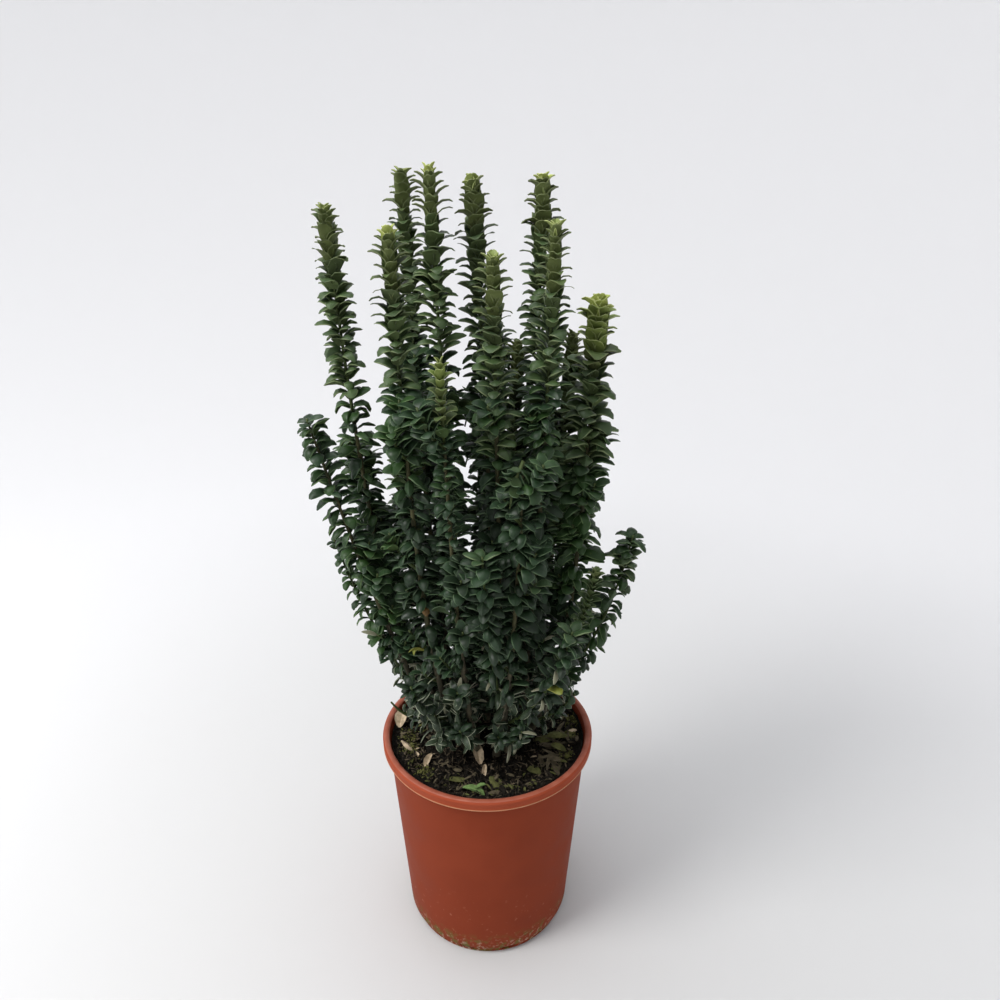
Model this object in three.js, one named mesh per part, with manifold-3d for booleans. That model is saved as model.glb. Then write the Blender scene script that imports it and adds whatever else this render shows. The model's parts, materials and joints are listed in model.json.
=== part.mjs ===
// A potted evergreen shrub: a clump of upright, spire-like shoots with opposite pairs of small
// leathery leaves, standing in a filled, round nursery pot with a rolled rim.
// Millimetres, +Z up. The origin is the middle of the pot's flat underside.
import * as THREE from "three";
import { mergeVertices } from "three/addons/utils/BufferGeometryUtils.js";
import Module from "manifold-3d";

const wasm = await Module();
wasm.setup();

// Driving dimensions of the pot and its filling.
const pot = {
  rimRadius: 120,
  height: 250,
  rimHeight: 11.5,
  rimWidth: 8,
  wallTopRadius: 113,
  wallFootRadius: 97.5,
  wall: 2.2,
  footRadius: 94,
  footHeight: 9,
  floor: 3.4,
  recessHeight: 3,
  recessInner: 32,
  recessOuter: 80,
  drains: 12,
  drainWidth: 17,
  drainHeight: 5.5,
  sides: 32,
};
const soil = { top: 232, edgeDip: 3, gap: 0.3 };

// Driving dimensions of the plant.
const plant = {
  footShare: 0.3, // a foot stands this share of its tip's distance from the middle
  boughTop: 276, // height at which a bare bough enters its foliage
  joint: 0.3, // clear gap where two limbs meet
  swell: 70, // height over which the dense middle of a shoot widens from its root
  limbSides: 5,
  limbStep: 75,
};
const bough = { footRadius: 4.6, topRadius: 3.6 };
const spire = {
  rootRadius: 3,
  coreRadius: 8, // the dense middle of the foliage, that the leaves stand out of
  tipRadius: 1.6,
  leafSpacing: 54,
  tipSpacing: 24,
  leafLength: 38,
  tipLeafLength: 15,
  growth: 190, // distance below the tip over which core and leaves reach full size
  bareRoot: 10,
};
const sideShoot = {
  rootRadius: 2.4,
  coreRadius: 6,
  tipRadius: 1.4,
  leafSpacing: 36,
  tipSpacing: 21,
  leafLength: 33,
  tipLeafLength: 16,
  growth: 100,
  bareRoot: 6,
};
const skirt = {
  rootRadius: 2.4,
  coreRadius: 5,
  tipRadius: 1.4,
  leafSpacing: 26,
  tipSpacing: 20,
  leafLength: 33,
  tipLeafLength: 22,
  growth: 45,
  bareRoot: 6,
};
const leaf = {
  widthShare: 0.7,
  rootDepth: 2.5, // how far from the middle of the shoot a leaf's root is sunk
  thickness: 1.3,
  middle: 0.6, // share of the length at which the leaf is widest and bends
  tipRise: 74, // degrees above square to the stem, at the top of a shoot
  baseRise: 60,
  tipCurl: 42, // degrees that the outer part turns back down, at the top of a shoot
  baseCurl: 76,
  fits: [1, 0.8, 0.62], // sizes tried, largest first, before a leaf is left out
  fold: 0.2, // how far the edges hang below the midrib, as a share of the width
  first: 12, // how far below a shoot's tip its first pair stands
  clearance: 1,
};

// The tall shoots: tip in space, and how late the shoot turns upright. A small bend turns at once,
// a large one leans evenly, and one below -1 leans out late.
const spires = [
  { name: "far_left", tip: [-142, 10, 812], bend: 0.38 },
  { name: "left_front", tip: [-77, -60, 794], bend: 0.3 },
  { name: "left_back", tip: [-76, 45, 841], bend: 0.35 },
  { name: "left_inner", tip: [-47, -5, 842], bend: 1.5 },
  { name: "centre", tip: [-11, 28, 833], foot: [11, 4], bend: -2.5 },
  { name: "centre_front", tip: [8, -55, 774], foot: [22, -26], bend: 1.5 },
  { name: "right_inner", tip: [53, 30, 835], foot: [26, 14], bend: 0.2 },
  { name: "right_front", tip: [60, -50, 799], foot: [35, -15], bend: 0.9 },
  { name: "far_right", tip: [104, -5, 732], foot: [40, -2], bend: 0.2 },
  { name: "low_front", tip: [-36, -92, 698], bend: 0.7 },
  { name: "centre_back", tip: [33, 76, 680], bend: 0.6 },
  { name: "right_back", tip: [88, 60, 690], foot: [32, 30], bend: 0.5 },
  { name: "outer_left", tip: [-166, -35, 634], bend: 4 },
  { name: "back_right", tip: [66, 104, 640], bend: 0.6 },
  { name: "back_left", tip: [-60, 98, 630], bend: 0.6 },
  { name: "back_outer_left", tip: [-97, 76, 560], bend: 0.6 },
  { name: "back_middle", tip: [-4, 112, 575], bend: 0.6 },
  { name: "back_outer_right", tip: [112, 74, 580], foot: [41, 20], bend: 0.6 },
  { name: "rear_left", tip: [-143, 40, 588], bend: 2 },
  { name: "front_right", tip: [34, -96, 600], bend: 0.7 },
];

// Side shoots: the tall shoot each one leaves, the height it leaves at, and its tip.
const sideShoots = [
  { name: "side_left", from: "outer_left", at: 300, tip: [-160, -4, 500], bend: 2 },
  { name: "side_right", from: "far_right", at: 300, tip: [151, -12, 505] },
  { name: "side_right_front", from: "right_front", at: 298, tip: [108, -62, 488] },
  { name: "side_front", from: "centre_front", at: 300, tip: [-2, -108, 528] },
  { name: "side_front_right", from: "front_right", at: 290, tip: [84, -98, 444] },
];

// The short low shoots round the foot of the clump, which hide its stems.
const skirts = [
  { name: "skirt_left", from: "far_left", at: 285, tip: [-122, 14, 366] },
  { name: "skirt_left_front", from: "outer_left", at: 270, tip: [-104, -50, 326] },
  { name: "skirt_right", from: "far_right", at: 280, tip: [118, 16, 396] },
  { name: "skirt_right_front", from: "right_front", at: 268, tip: [98, -40, 330] },
  { name: "skirt_front_left", from: "left_front", at: 285, tip: [-76, -86, 372] },
  { name: "skirt_front", from: "low_front", at: 270, tip: [-28, -88, 318] },
  { name: "skirt_front_right", from: "front_right", at: 262, tip: [38, -86, 316] },
  { name: "skirt_back_left", from: "back_outer_left", at: 280, tip: [-94, 84, 366] },
  { name: "skirt_back", from: "back_middle", at: 272, tip: [-8, 100, 352] },
  { name: "skirt_back_right", from: "back_outer_right", at: 280, tip: [88, 88, 372] },
  { name: "skirt_rear_left", from: "rear_left", at: 290, tip: [-124, 34, 400] },
];
const sideBend = 0.8;

const finish = {
  pot: { color: 0xa04a32, roughness: 0.55, metalness: 0 },
  soil: { color: 0x2b211a, roughness: 1, metalness: 0 },
  stem: { color: 0x57503a, roughness: 0.85, metalness: 0 },
  foliage: { color: 0x2f4a26, roughness: 0.45, metalness: 0 },
};

const shrub = new THREE.Group();
const radians = THREE.MathUtils.degToRad;
const blend = THREE.MathUtils.lerp;

// A repeatable number from 0 to 1 for a whole number.
function chance(n) {
  const wave = Math.sin(n * 12.9898) * 43758.5453;
  return wave - Math.floor(wave);
}

// A closed three.js geometry as a solid that can be joined and cut.
function solidOf(geometry) {
  const bare = geometry.clone();
  bare.deleteAttribute("normal");
  bare.deleteAttribute("uv");
  const merged = mergeVertices(bare, 1e-3);
  return new wasm.Manifold(
    new wasm.Mesh({
      numProp: 3,
      vertProperties: merged.attributes.position.array,
      triVerts: new Uint32Array(merged.index.array),
    }),
  );
}

// The largest body of a solid, as a geometry: a loose scrap is dropped.
function geometryOf(solid) {
  const bodies = solid.decompose();
  const largest = bodies.reduce((a, b) => (b.volume() > a.volume() ? b : a));
  const mesh = largest.getMesh();
  return new THREE.BufferGeometry()
    .setAttribute("position", new THREE.BufferAttribute(mesh.vertProperties, 3))
    .setIndex(new THREE.BufferAttribute(mesh.triVerts, 1));
}

function addNode(name, geometry, look) {
  const mesh = new THREE.Mesh(geometry, new THREE.MeshStandardMaterial(finish[look]));
  mesh.name = name;
  shrub.add(mesh);
}

// A round solid from a profile of [radius, height] pairs that starts and ends on the axis.
function turned(profile) {
  const points = profile.map(([r, z]) => new THREE.Vector2(r, z));
  return new THREE.LatheGeometry(points, pot.sides).rotateX(Math.PI / 2);
}

// Where the pot's outer wall stands at a height.
function wallRadius(z) {
  return blend(
    pot.wallFootRadius,
    pot.wallTopRadius,
    (z - pot.footHeight) / (pot.height - pot.rimHeight - pot.footHeight),
  );
}

// The pot: a tapered wall under a rolled rim, on a foot ring with drain slots in its corner.
function potSolid() {
  const rimFoot = pot.height - pot.rimHeight;
  const rimMiddle = pot.rimRadius - pot.rimWidth / 2;
  const floorTop = pot.recessHeight + pot.floor;
  const body = solidOf(
    turned([
      [0, 0],
      [pot.recessInner, 0],
      [pot.recessInner + 2, pot.recessHeight],
      [pot.recessOuter - 2, pot.recessHeight],
      [pot.recessOuter, 0],
      [pot.footRadius, 0],
      [pot.footRadius, pot.footHeight - 0.5],
      [pot.wallFootRadius, pot.footHeight],
      [pot.wallTopRadius, rimFoot],
      [pot.rimRadius - 1.2, rimFoot],
      [pot.rimRadius, rimFoot + 3.5],
      [pot.rimRadius - 0.6, pot.height - 2.6],
      [rimMiddle + 1.4, pot.height - 0.3],
      [rimMiddle - 0.6, pot.height],
      [pot.rimRadius - pot.rimWidth, pot.height - 1.8],
      [wallRadius(rimFoot) - pot.wall, rimFoot - 1],
      [wallRadius(pot.footHeight) - pot.wall, pot.footHeight + 4],
      [pot.footRadius - pot.wall - 1, pot.footHeight],
      [pot.footRadius - pot.wall - 3, floorTop],
      [0, floorTop],
    ]),
  );
  let drained = body;
  for (let i = 0; i < pot.drains; i++) {
    const slot = new THREE.BoxGeometry(22, pot.drainWidth, pot.drainHeight)
      .translate(pot.footRadius - 2, 0, pot.footHeight - 0.8 - pot.drainHeight / 2)
      .rotateZ(((i + 0.5) * 2 * Math.PI) / pot.drains);
    drained = drained.subtract(solidOf(slot));
  }
  return drained;
}

// The filling, down to the pot's floor, level where the stems stand and dipping to the wall.
function soilGeometry() {
  const floorTop = pot.recessHeight + pot.floor + soil.gap;
  const inset = pot.wall + soil.gap + 0.4;
  return turned([
    [0, floorTop],
    [pot.footRadius - inset - 3, floorTop],
    [pot.footRadius - inset - 1, pot.footHeight + 1],
    [wallRadius(pot.footHeight + 6) - inset, pot.footHeight + 6],
    [wallRadius(soil.top - 6) - inset, soil.top - 6],
    [wallRadius(soil.top - soil.edgeDip) - inset - 1, soil.top - soil.edgeDip],
    [84, soil.top],
    [0, soil.top],
  ]);
}

// Height moves evenly along a shoot, and its sideways reach comes early: s(1 + b) / (s + b).
function pointOn(shoot, share) {
  const reach = (share * (1 + shoot.bend)) / (share + shoot.bend);
  return new THREE.Vector3(
    blend(shoot.root.x, shoot.tipPoint.x, reach),
    blend(shoot.root.y, shoot.tipPoint.y, reach),
    blend(shoot.root.z, shoot.tipPoint.z, share),
  );
}

// The share of a shoot that lies at a point's height.
function nearestShare(shoot, point) {
  return THREE.MathUtils.clamp(shareAt(shoot, point.z), 0, 1);
}

// The share of a shoot at which it passes a height.
function shareAt(shoot, height) {
  return (height - shoot.root.z) / (shoot.tipPoint.z - shoot.root.z);
}

function tangentOn(shoot, share) {
  const step = 0.004;
  const ahead = pointOn(shoot, Math.min(1, share + step));
  return ahead.sub(pointOn(shoot, Math.max(0, share - step))).normalize();
}

// A frame that stands square to the shoot: its tangent and two level-ish directions.
function frameOn(shoot, share) {
  const along = tangentOn(shoot, share);
  const right = new THREE.Vector3(1, 0, 0).addScaledVector(along, -along.x).normalize();
  return { along, right, back: new THREE.Vector3().crossVectors(along, right) };
}

// A limb: a closed cylinder whose rings are carried along the shoot, with a radius for each share.
// Crowding above 1 brings its rings closer together towards the far end. At the shoot's very foot
// the ring lies level, as a flat cut at ground level.
const level = { right: new THREE.Vector3(1, 0, 0), back: new THREE.Vector3(0, 1, 0) };
function limbGeometry(shoot, from, to, radiusAt, crowding = 1) {
  const length = pointOn(shoot, from).distanceTo(pointOn(shoot, to));
  const steps = Math.max(2, Math.round(length / plant.limbStep));
  const limb = new THREE.CylinderGeometry(1, 1, 1, plant.limbSides, steps);
  const places = limb.attributes.position;
  for (let i = 0; i < places.count; i++) {
    const share = blend(to, from, (0.5 - places.getY(i)) ** crowding);
    const { right, back } = share === 0 ? level : frameOn(shoot, share);
    const radius = radiusAt(share);
    const place = pointOn(shoot, share)
      .addScaledVector(right, places.getX(i) * radius)
      .addScaledVector(back, -places.getZ(i) * radius);
    places.setXYZ(i, place.x, place.y, place.z);
  }
  return limb;
}

// One leaf: an octahedron with its corners moved to the leaf's root, tip, edges and two faces.
function leafGeometry(corners) {
  const blade = new THREE.OctahedronGeometry(1);
  const places = blade.attributes.position;
  for (let i = 0; i < places.count; i++) {
    const [x, y, z] = [places.getX(i), places.getY(i), places.getZ(i)];
    const corner =
      x < -0.5 ? corners.root
      : x > 0.5 ? corners.tip
      : y < -0.5 ? corners.left
      : y > 0.5 ? corners.right
      : z > 0.5 ? corners.top
      : corners.under;
    places.setXYZ(i, corner.x, corner.y, corner.z);
  }
  return blade;
}

// The corners of a leaf that leaves the stem at a share, towards an angle round it.
function leafCorners(shoot, share, turn, length, rise, curl) {
  const { along, right, back } = frameOn(shoot, share);
  const out = right.clone().multiplyScalar(Math.cos(turn)).addScaledVector(back, Math.sin(turn));
  const side = new THREE.Vector3().crossVectors(along, out);
  const halfway = (angle) =>
    out.clone().multiplyScalar(Math.cos(angle)).addScaledVector(along, Math.sin(angle));
  const inner = halfway(radians(rise));
  const outer = halfway(radians(rise - curl));
  const stem = pointOn(shoot, share);
  const root = stem.clone().addScaledVector(inner, leaf.rootDepth);
  const middle = stem.clone().addScaledVector(inner, length * leaf.middle);
  const tip = middle.clone().addScaledVector(outer, length * (1 - leaf.middle));
  const normal = new THREE.Vector3().crossVectors(side, inner.add(outer)).normalize().negate();
  const halfWidth = (length * leaf.widthShare) / 2;
  const edge = (sign) =>
    middle
      .clone()
      .addScaledVector(side, sign * halfWidth)
      .addScaledVector(normal, -2 * halfWidth * leaf.fold);
  return {
    root,
    tip,
    left: edge(-1),
    right: edge(1),
    top: middle.clone().addScaledVector(normal, leaf.thickness / 2),
    under: middle.clone().addScaledVector(normal, -leaf.thickness / 2),
  };
}

// Every shoot has a root, a tip and a line of sample points for measuring distances.
const shoots = [];
function planShoot(plan, root, sizes, bend) {
  const shoot = { ...plan, root, tipPoint: new THREE.Vector3(...plan.tip), sizes, bend };
  const samples = 40;
  shoot.line = Array.from({ length: samples + 1 }, (_, i) => pointOn(shoot, i / samples));
  shoots.push(shoot);
  return shoot;
}
for (const plan of spires) {
  const [x, y] = plan.foot ?? plan.tip.slice(0, 2).map((reach) => reach * plant.footShare);
  planShoot(plan, new THREE.Vector3(x, y, soil.top + soil.gap), spire, plan.bend);
}
for (const plan of [...sideShoots, ...skirts]) {
  const parent = shoots.find((shoot) => shoot.name === plan.from);
  const root = pointOn(parent, shareAt(parent, plan.at));
  const sizes = skirts.includes(plan) ? skirt : sideShoot;
  planShoot({ ...plan, parent }, root, sizes, plan.bend ?? sideBend);
}

function distanceTo(shoot, point) {
  let nearest = Infinity;
  const segment = new THREE.Line3();
  const foot = new THREE.Vector3();
  for (let i = 1; i < shoot.line.length; i++) {
    segment.set(shoot.line[i - 1], shoot.line[i]).closestPointToPoint(point, true, foot);
    nearest = Math.min(nearest, foot.distanceTo(point));
  }
  return nearest;
}

const related = (shoot, other) => shoot.parent === other || other.parent === shoot;

// Half the way from a shoot to the nearest other one that it doesn't branch from: its own space.
function spaceAt(shoot, share) {
  const point = pointOn(shoot, share);
  const strangers = shoots.filter((other) => other !== shoot && !related(shoot, other));
  return Math.min(...strangers.map((other) => distanceTo(other, point))) / 2;
}

// A leaf keeps to its shoot's own space, nearer to its own stem than to any other, and where one
// shoot branches from another it keeps clear of the other's dense middle.
function keepsClear(shoot, corners) {
  const points = [corners.tip, corners.left, corners.right, corners.top, corners.under];
  const low = soil.top + 2;
  return points.every((point) => {
    const own = distanceTo(shoot, point) + leaf.clearance;
    return (
      point.z > low &&
      shoots.every((other) => {
        if (other === shoot) return true;
        const room = related(shoot, other) ? coreRadiusAt(other, nearestShare(other, point)) + 1 : 0;
        return distanceTo(other, point) > Math.max(own, room, bough.footRadius + 1);
      })
    );
  });
}

// Leaf pairs down a shoot from its tip, each pair square to the last, smaller towards the tip.
function leavesOn(shoot, index) {
  const { sizes } = shoot;
  const length = shoot.root.distanceTo(shoot.tipPoint);
  const lowest = foliageStart(shoot) + sizes.bareRoot / length;
  const found = [];
  let below = leaf.first;
  for (let pair = 0; ; pair++) {
    const grown = Math.min(1, below / sizes.growth);
    const share = 1 - below / length;
    if (share < lowest) return found;
    const rise = blend(leaf.tipRise, leaf.baseRise, grown);
    const curl = blend(leaf.tipCurl, leaf.baseCurl, grown);
    const size = blend(sizes.tipLeafLength, sizes.leafLength, Math.sqrt(grown));
    for (const half of [0, 1]) {
      const seed = index * 97 + pair * 2 + half;
      const turn = chance(index) * Math.PI + (pair + 2 * half) * (Math.PI / 2);
      const sway = (chance(seed + 0.5) - 0.5) * 0.5;
      const corners = leaf.fits
        .map((fit) => leafCorners(shoot, share, turn + sway, size * fit, rise, curl))
        .find((tried) => keepsClear(shoot, tried));
      if (corners) found.push(corners);
    }
    below += blend(sizes.tipSpacing, sizes.leafSpacing, grown) * (0.9 + 0.2 * chance(pair + index));
  }
}

// The bare foot of a tall shoot. With room to spare round it, it is the shape to cut others by.
function boughGeometry(shoot, room = 0) {
  const top = shareAt(shoot, plant.boughTop);
  const radiusAt = (share) => blend(bough.footRadius, bough.topRadius, share / top) + room;
  return limbGeometry(shoot, 0, top, radiusAt);
}

// The share of a shoot at which its foliage starts: just clear of its bough, or at a side shoot's root.
function foliageStart(shoot) {
  return shoot.parent ? 0 : shareAt(shoot, plant.boughTop + plant.joint);
}

// The dense middle of a mass: slim at its root, never wider than its own space, and tapered to
// the tip as the leaves are.
function coreRadiusAt(shoot, share) {
  const { rootRadius, coreRadius, tipRadius, growth } = shoot.sizes;
  const length = shoot.root.distanceTo(shoot.tipPoint);
  const grown = Math.min(1, ((1 - share) * length) / growth);
  const swell = Math.max(0, (share - foliageStart(shoot)) * length) / plant.swell;
  return Math.min(
    blend(tipRadius, coreRadius, grown ** 0.35),
    blend(rootRadius, coreRadius, swell),
    spaceAt(shoot, share) - plant.joint,
  );
}

function coreGeometry(shoot, room = 0) {
  const radiusAt = (share) => coreRadiusAt(shoot, share) + room;
  return limbGeometry(shoot, foliageStart(shoot), 1, radiusAt, 1.6);
}

// A mass of foliage: its core with the leaves fused on, cut clear of the shoot that carries it.
function massSolid(shoot, index) {
  let mass = solidOf(coreGeometry(shoot));
  for (const corners of leavesOn(shoot, index)) {
    mass = mass.add(solidOf(leafGeometry(corners)));
  }
  if (!shoot.parent) return mass;
  return mass
    .subtract(solidOf(boughGeometry(shoot.parent, plant.joint)))
    .subtract(solidOf(coreGeometry(shoot.parent, plant.joint)));
}

addNode("pot", geometryOf(potSolid()), "pot");
addNode("soil", soilGeometry(), "soil");
shoots.forEach((shoot, index) => {
  if (!shoot.parent) addNode(`${shoot.name}_stem`, boughGeometry(shoot), "stem");
  addNode(`${shoot.name}_foliage`, geometryOf(massSolid(shoot, index)), "foliage");
});

export default shrub;
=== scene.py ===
# A potted evergreen shrub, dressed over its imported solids: a round nursery pot, its potting soil, the
# bark of the stems and the small leathery leaves of the upright shoots.
import json

import bpy
import numpy as np
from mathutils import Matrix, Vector

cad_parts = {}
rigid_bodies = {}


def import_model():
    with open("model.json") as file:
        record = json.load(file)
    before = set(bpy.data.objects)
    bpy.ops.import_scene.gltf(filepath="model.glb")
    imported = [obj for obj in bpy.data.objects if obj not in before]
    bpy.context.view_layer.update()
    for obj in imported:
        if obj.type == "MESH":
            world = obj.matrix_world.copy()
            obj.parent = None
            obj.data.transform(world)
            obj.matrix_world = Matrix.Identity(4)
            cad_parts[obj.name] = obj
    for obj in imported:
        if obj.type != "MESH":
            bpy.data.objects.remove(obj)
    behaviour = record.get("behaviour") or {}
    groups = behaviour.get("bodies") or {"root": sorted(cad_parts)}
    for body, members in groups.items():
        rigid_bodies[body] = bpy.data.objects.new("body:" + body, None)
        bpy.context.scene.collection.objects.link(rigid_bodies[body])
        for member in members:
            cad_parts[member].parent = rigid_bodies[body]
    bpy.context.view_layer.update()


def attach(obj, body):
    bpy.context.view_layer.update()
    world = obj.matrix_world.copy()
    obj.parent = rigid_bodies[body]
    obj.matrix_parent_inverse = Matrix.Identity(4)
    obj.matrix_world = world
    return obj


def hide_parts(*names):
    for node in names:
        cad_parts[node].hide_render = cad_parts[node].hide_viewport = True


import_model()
metre = 0.001  # the shapes are worked out in millimetres


# A share of the way from one value to another: a + (b - a) share.
def blend(a, b, share):
    return a + (b - a) * share


# How far a value has come from one limit to the other, 0 before the first and 1 past the second.
def ramp(value, start, end):
    return np.clip((value - start) / (end - start), 0, 1)


# A repeatable number from 0 to 1 for each number n: what a large sine of n leaves after its whole part.
def chance(n):
    wave = np.sin(np.asarray(n, float) * 12.9898) * 43758.5453
    return wave - np.floor(wave)


# The vectors scaled to length 1.
def unit(vectors):
    return vectors / np.linalg.norm(vectors, axis=-1, keepdims=True)


# Even angles once round, in radians.
def onceRound(count):
    return np.linspace(0, 2 * np.pi, count, endpoint=False)


# Points round the upright axis: reach cos(angle), reach sin(angle) and the height.
def aroundAxis(reach, angle, height):
    x, y = reach * np.cos(angle), reach * np.sin(angle)
    return np.stack([x, y, height + 0 * x], -1)


# Directions between two others that are square to each other: right cos(turn) + back sin(turn).
def facing(right, back, turn):
    return right * np.cos(turn) + back * np.sin(turn)


# Smooth lumps in space, about -1 to 1: twice the mean of sines that run in random directions, each
# octave at twice the pitch and half the height of the last.
def lumps(points, wavelength, seed, octaves=3, sines=5):
    draw = np.random.default_rng(seed)
    total = np.zeros(points.shape[:-1])
    for octave in range(octaves):
        ways = unit(draw.normal(size=(sines, 3))) * (2 * np.pi / wavelength) * 2**octave
        phases = draw.uniform(0, 2 * np.pi, sines)
        total += np.sin(points @ ways.T + phases).mean(-1) * 2 * 0.5**octave
    return total


# A new object in the scene, at the origin.
def addObject(name, data):
    made = bpy.data.objects.new(name, data)
    bpy.context.collection.objects.link(made)
    return made


# A mesh from arrays: points in millimetres, faces as arrays of three or four point numbers a row,
# and for each face the place of its finish in the list.
def addPiece(name, points, faces, finishes, slotName, nodes=(), finishOf=None, sharpFrom=None):
    mesh = bpy.data.meshes.new(name)
    corners = np.concatenate([rows.reshape(-1) for rows in faces]).astype(np.int32)
    sizes = np.concatenate([np.full(len(rows), rows.shape[1]) for rows in faces])
    starts = np.concatenate([[0], np.cumsum(sizes)[:-1]]).astype(np.int32)
    mesh.vertices.add(len(points))
    mesh.vertices.foreach_set("co", (points * metre).astype(np.float32).reshape(-1))
    mesh.loops.add(len(corners))
    mesh.loops.foreach_set("vertex_index", corners)
    mesh.polygons.add(len(sizes))
    mesh.polygons.foreach_set("loop_start", starts)
    mesh.update(calc_edges=True)
    mesh.shade_smooth()
    if sharpFrom:
        mesh.set_sharp_from_angle(angle=np.radians(sharpFrom))
    for finish in finishes:
        mesh.materials.append(finish)
    if finishOf is not None:
        mesh.polygons.foreach_set("material_index", np.asarray(finishOf, np.int32))
    piece = addObject(name, mesh)
    if slotName:
        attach(piece, "root")
    if nodes:
        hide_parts(*nodes)
    print(f"{name}: {len(sizes)} faces")
    return piece


# Quads between neighbouring rings of points, closed round each ring.
def ringFaces(rings, around):
    row, column = np.meshgrid(np.arange(rings - 1), np.arange(around), indexing="ij")
    after = (column + 1) % around
    here, above = row * around, (row + 1) * around
    return np.stack([here + column, here + after, above + after, above + column], -1).reshape(-1, 4)


# Triangles from the points of one ring, numbered on from its first, to a middle point.
def fan(first, around, middle):
    column = np.arange(around)
    return np.stack([first + (column + 1) % around, first + column, np.full(around, middle)], -1)


# Rings of points closed by a fan of triangles onto a middle point at each end.
def closedRings(rings):
    count, around = rings.shape[:2]
    points = np.concatenate([rings.reshape(-1, 3), rings[:1].mean(1), rings[-1:].mean(1)])
    start = fan(0, around, count * around)
    end = fan((count - 1) * around, around, count * around + 1)[:, [1, 0, 2]]
    return points, ringFaces(count, around), np.concatenate([start, end])


# Many shapes in one: their points one after another, and their faces numbered on.
def joined(shapes):
    points, quads, triangles, total = [], [], [], 0
    for shapePoints, shapeQuads, shapeTriangles in shapes:
        points.append(shapePoints)
        quads.append(shapeQuads + total)
        triangles.append(shapeTriangles + total)
        total += len(shapePoints)
    return np.concatenate(points), np.concatenate(quads), np.concatenate(triangles)


# A node's inputs by name or number: a link where the value is another node's output, else the value.
def setInputs(node, inputs):
    for name, value in inputs.items():
        socket = node.inputs[name]
        if isinstance(value, bpy.types.NodeSocket):
            node.id_data.links.new(value, socket)
        else:
            socket.default_value = (*value, 1) if socket.type == "RGBA" else value


# A new material with its shader node, its object coordinates, and a function that adds a node of a
# kind and gives the output asked for.
def startFinish(name):
    finish = bpy.data.materials.new(name)
    finish.use_nodes = True
    nodes = finish.node_tree.nodes

    def add(kind, output, inputs, **settings):
        node = nodes.new("ShaderNode" + kind)
        for setting, value in settings.items():
            setattr(node, setting, value)
        setInputs(node, inputs)
        return node.outputs[output]

    return finish, nodes["Principled BSDF"], add("TexCoord", "Object", {}), add


usualLook = {
    "patchRange": (0.35, 0.65),  # of the noise, from the first colour to the other
    "patchDetail": 2,
    "stainDetail": 4,
    "stretch": (1, 1, 1),
    "stains": (),
    "reliefStrength": 0.5,
    "specular": 0.5,
}


# A finish with two close colours and two roughnesses mixed by one noise, stains by others, and a fine
# relief from another, all on the piece's own object coordinates, with sizes in millimetres.
def makeFinish(name, look):
    finish, shader, place, add = startFinish(name)
    look = {**usualLook, **look}

    # a noise whose lumps have the size, or are longer where the stretch is below 1
    def noise(size, detail, stretch=(1, 1, 1)):
        mapped = add("Mapping", "Vector", {"Vector": place, "Scale": stretch})
        return add("TexNoise", "Fac", {"Vector": mapped, "Scale": 1 / (size * metre), "Detail": detail})

    # the range from start to end mapped evenly onto the other, and held at its ends
    def spread(value, start, end, toStart=0, toEnd=1):
        limits = {"From Min": start, "From Max": end, "To Min": toStart, "To Max": toEnd}
        return add("MapRange", "Result", {"Value": value, **limits})

    # (1 - share) first + share second
    def mixed(share, first, second):
        return add("Mix", "Result", {"Factor": share, "A": first, "B": second}, data_type="RGBA")

    share = spread(noise(look["patch"], look["patchDetail"], look["stretch"]), *look["patchRange"])
    colour = mixed(share, look["colour"], look["other"])
    for stain in look["stains"]:
        amount = spread(noise(stain["size"], look["stainDetail"]), *stain["range"])
        height = add("SeparateXYZ", "Z", {"Vector": place})
        full, none = stain["fades"]
        low = spread(height, full * metre, none * metre, 1, 0)
        amount = add("Math", "Value", {0: amount, 1: low}, operation="MULTIPLY")
        colour = mixed(amount, colour, stain["colour"])
    relief = {
        "Strength": look["reliefStrength"], "Distance": look["relief"] * metre,
        "Height": noise(look["grain"], look["patchDetail"], look["stretch"]),
    }
    setInputs(shader, {
        "Base Color": colour, "Roughness": spread(share, 0, 1, *look["roughness"]),
        "Normal": add("Bump", "Normal", relief), "Specular IOR Level": look["specular"],
    })
    return finish


# The camera: the photograph's place in metres, tilt in degrees, and lens and sensor in millimetres.
view = {
    "place": (0.0132, -0.697, 0.8165),
    "tilt": 67.7,
    "lens": 26.75,
    "sensor": 36,
    "shift": (0.001, 0.0005),
    "near": 0.01,
}
camera = addObject("camera", bpy.data.cameras.new("camera"))
camera.location = view["place"]
camera.rotation_euler = (np.radians(view["tilt"]), 0, 0)
camera.data.lens, camera.data.sensor_width = view["lens"], view["sensor"]
camera.data.shift_x, camera.data.shift_y = view["shift"]
camera.data.clip_start = view["near"]
bpy.context.scene.camera = camera

# The studio: a pale floor that curves up into a pale wall all round, open at the top to a soft sky.
studio = {
    "innerRings": (0.02, 0.3, 0.7),
    "floorRadius": 1.15,
    "curve": 1.3,
    "curveRings": 24,
    "wallTop": 3.2,
    "around": 96,
    "sky": (0.97, 0.98, 1.0),
    "skyStrength": 0.6,
    "floorPaint": (0.58, 0.58, 0.58),
    "wallPaint": (0.8, 0.8, 0.81),
    "paintLook": {"Roughness": 0.9, "Specular IOR Level": 0.2},
    "fade": (0.25, 1.5),  # from the floor's paint to the wall's, in metres from the middle
    "lit": (0, 0, 0.45),  # the place that the lights face
    "lights": {
        # name: place, size, watts, colour
        "topLight": ((-0.2, 0.1, 2.3), 1.4, 20, (0.97, 0.98, 1.0)),
        "keyLight": ((-1.3, -0.7, 1.8), 0.9, 34, (1.0, 0.99, 0.97)),
    },
}
bpy.context.scene.view_settings.view_transform = "Standard"
world = bpy.data.worlds.new("sky")
bpy.context.scene.world = world
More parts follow.
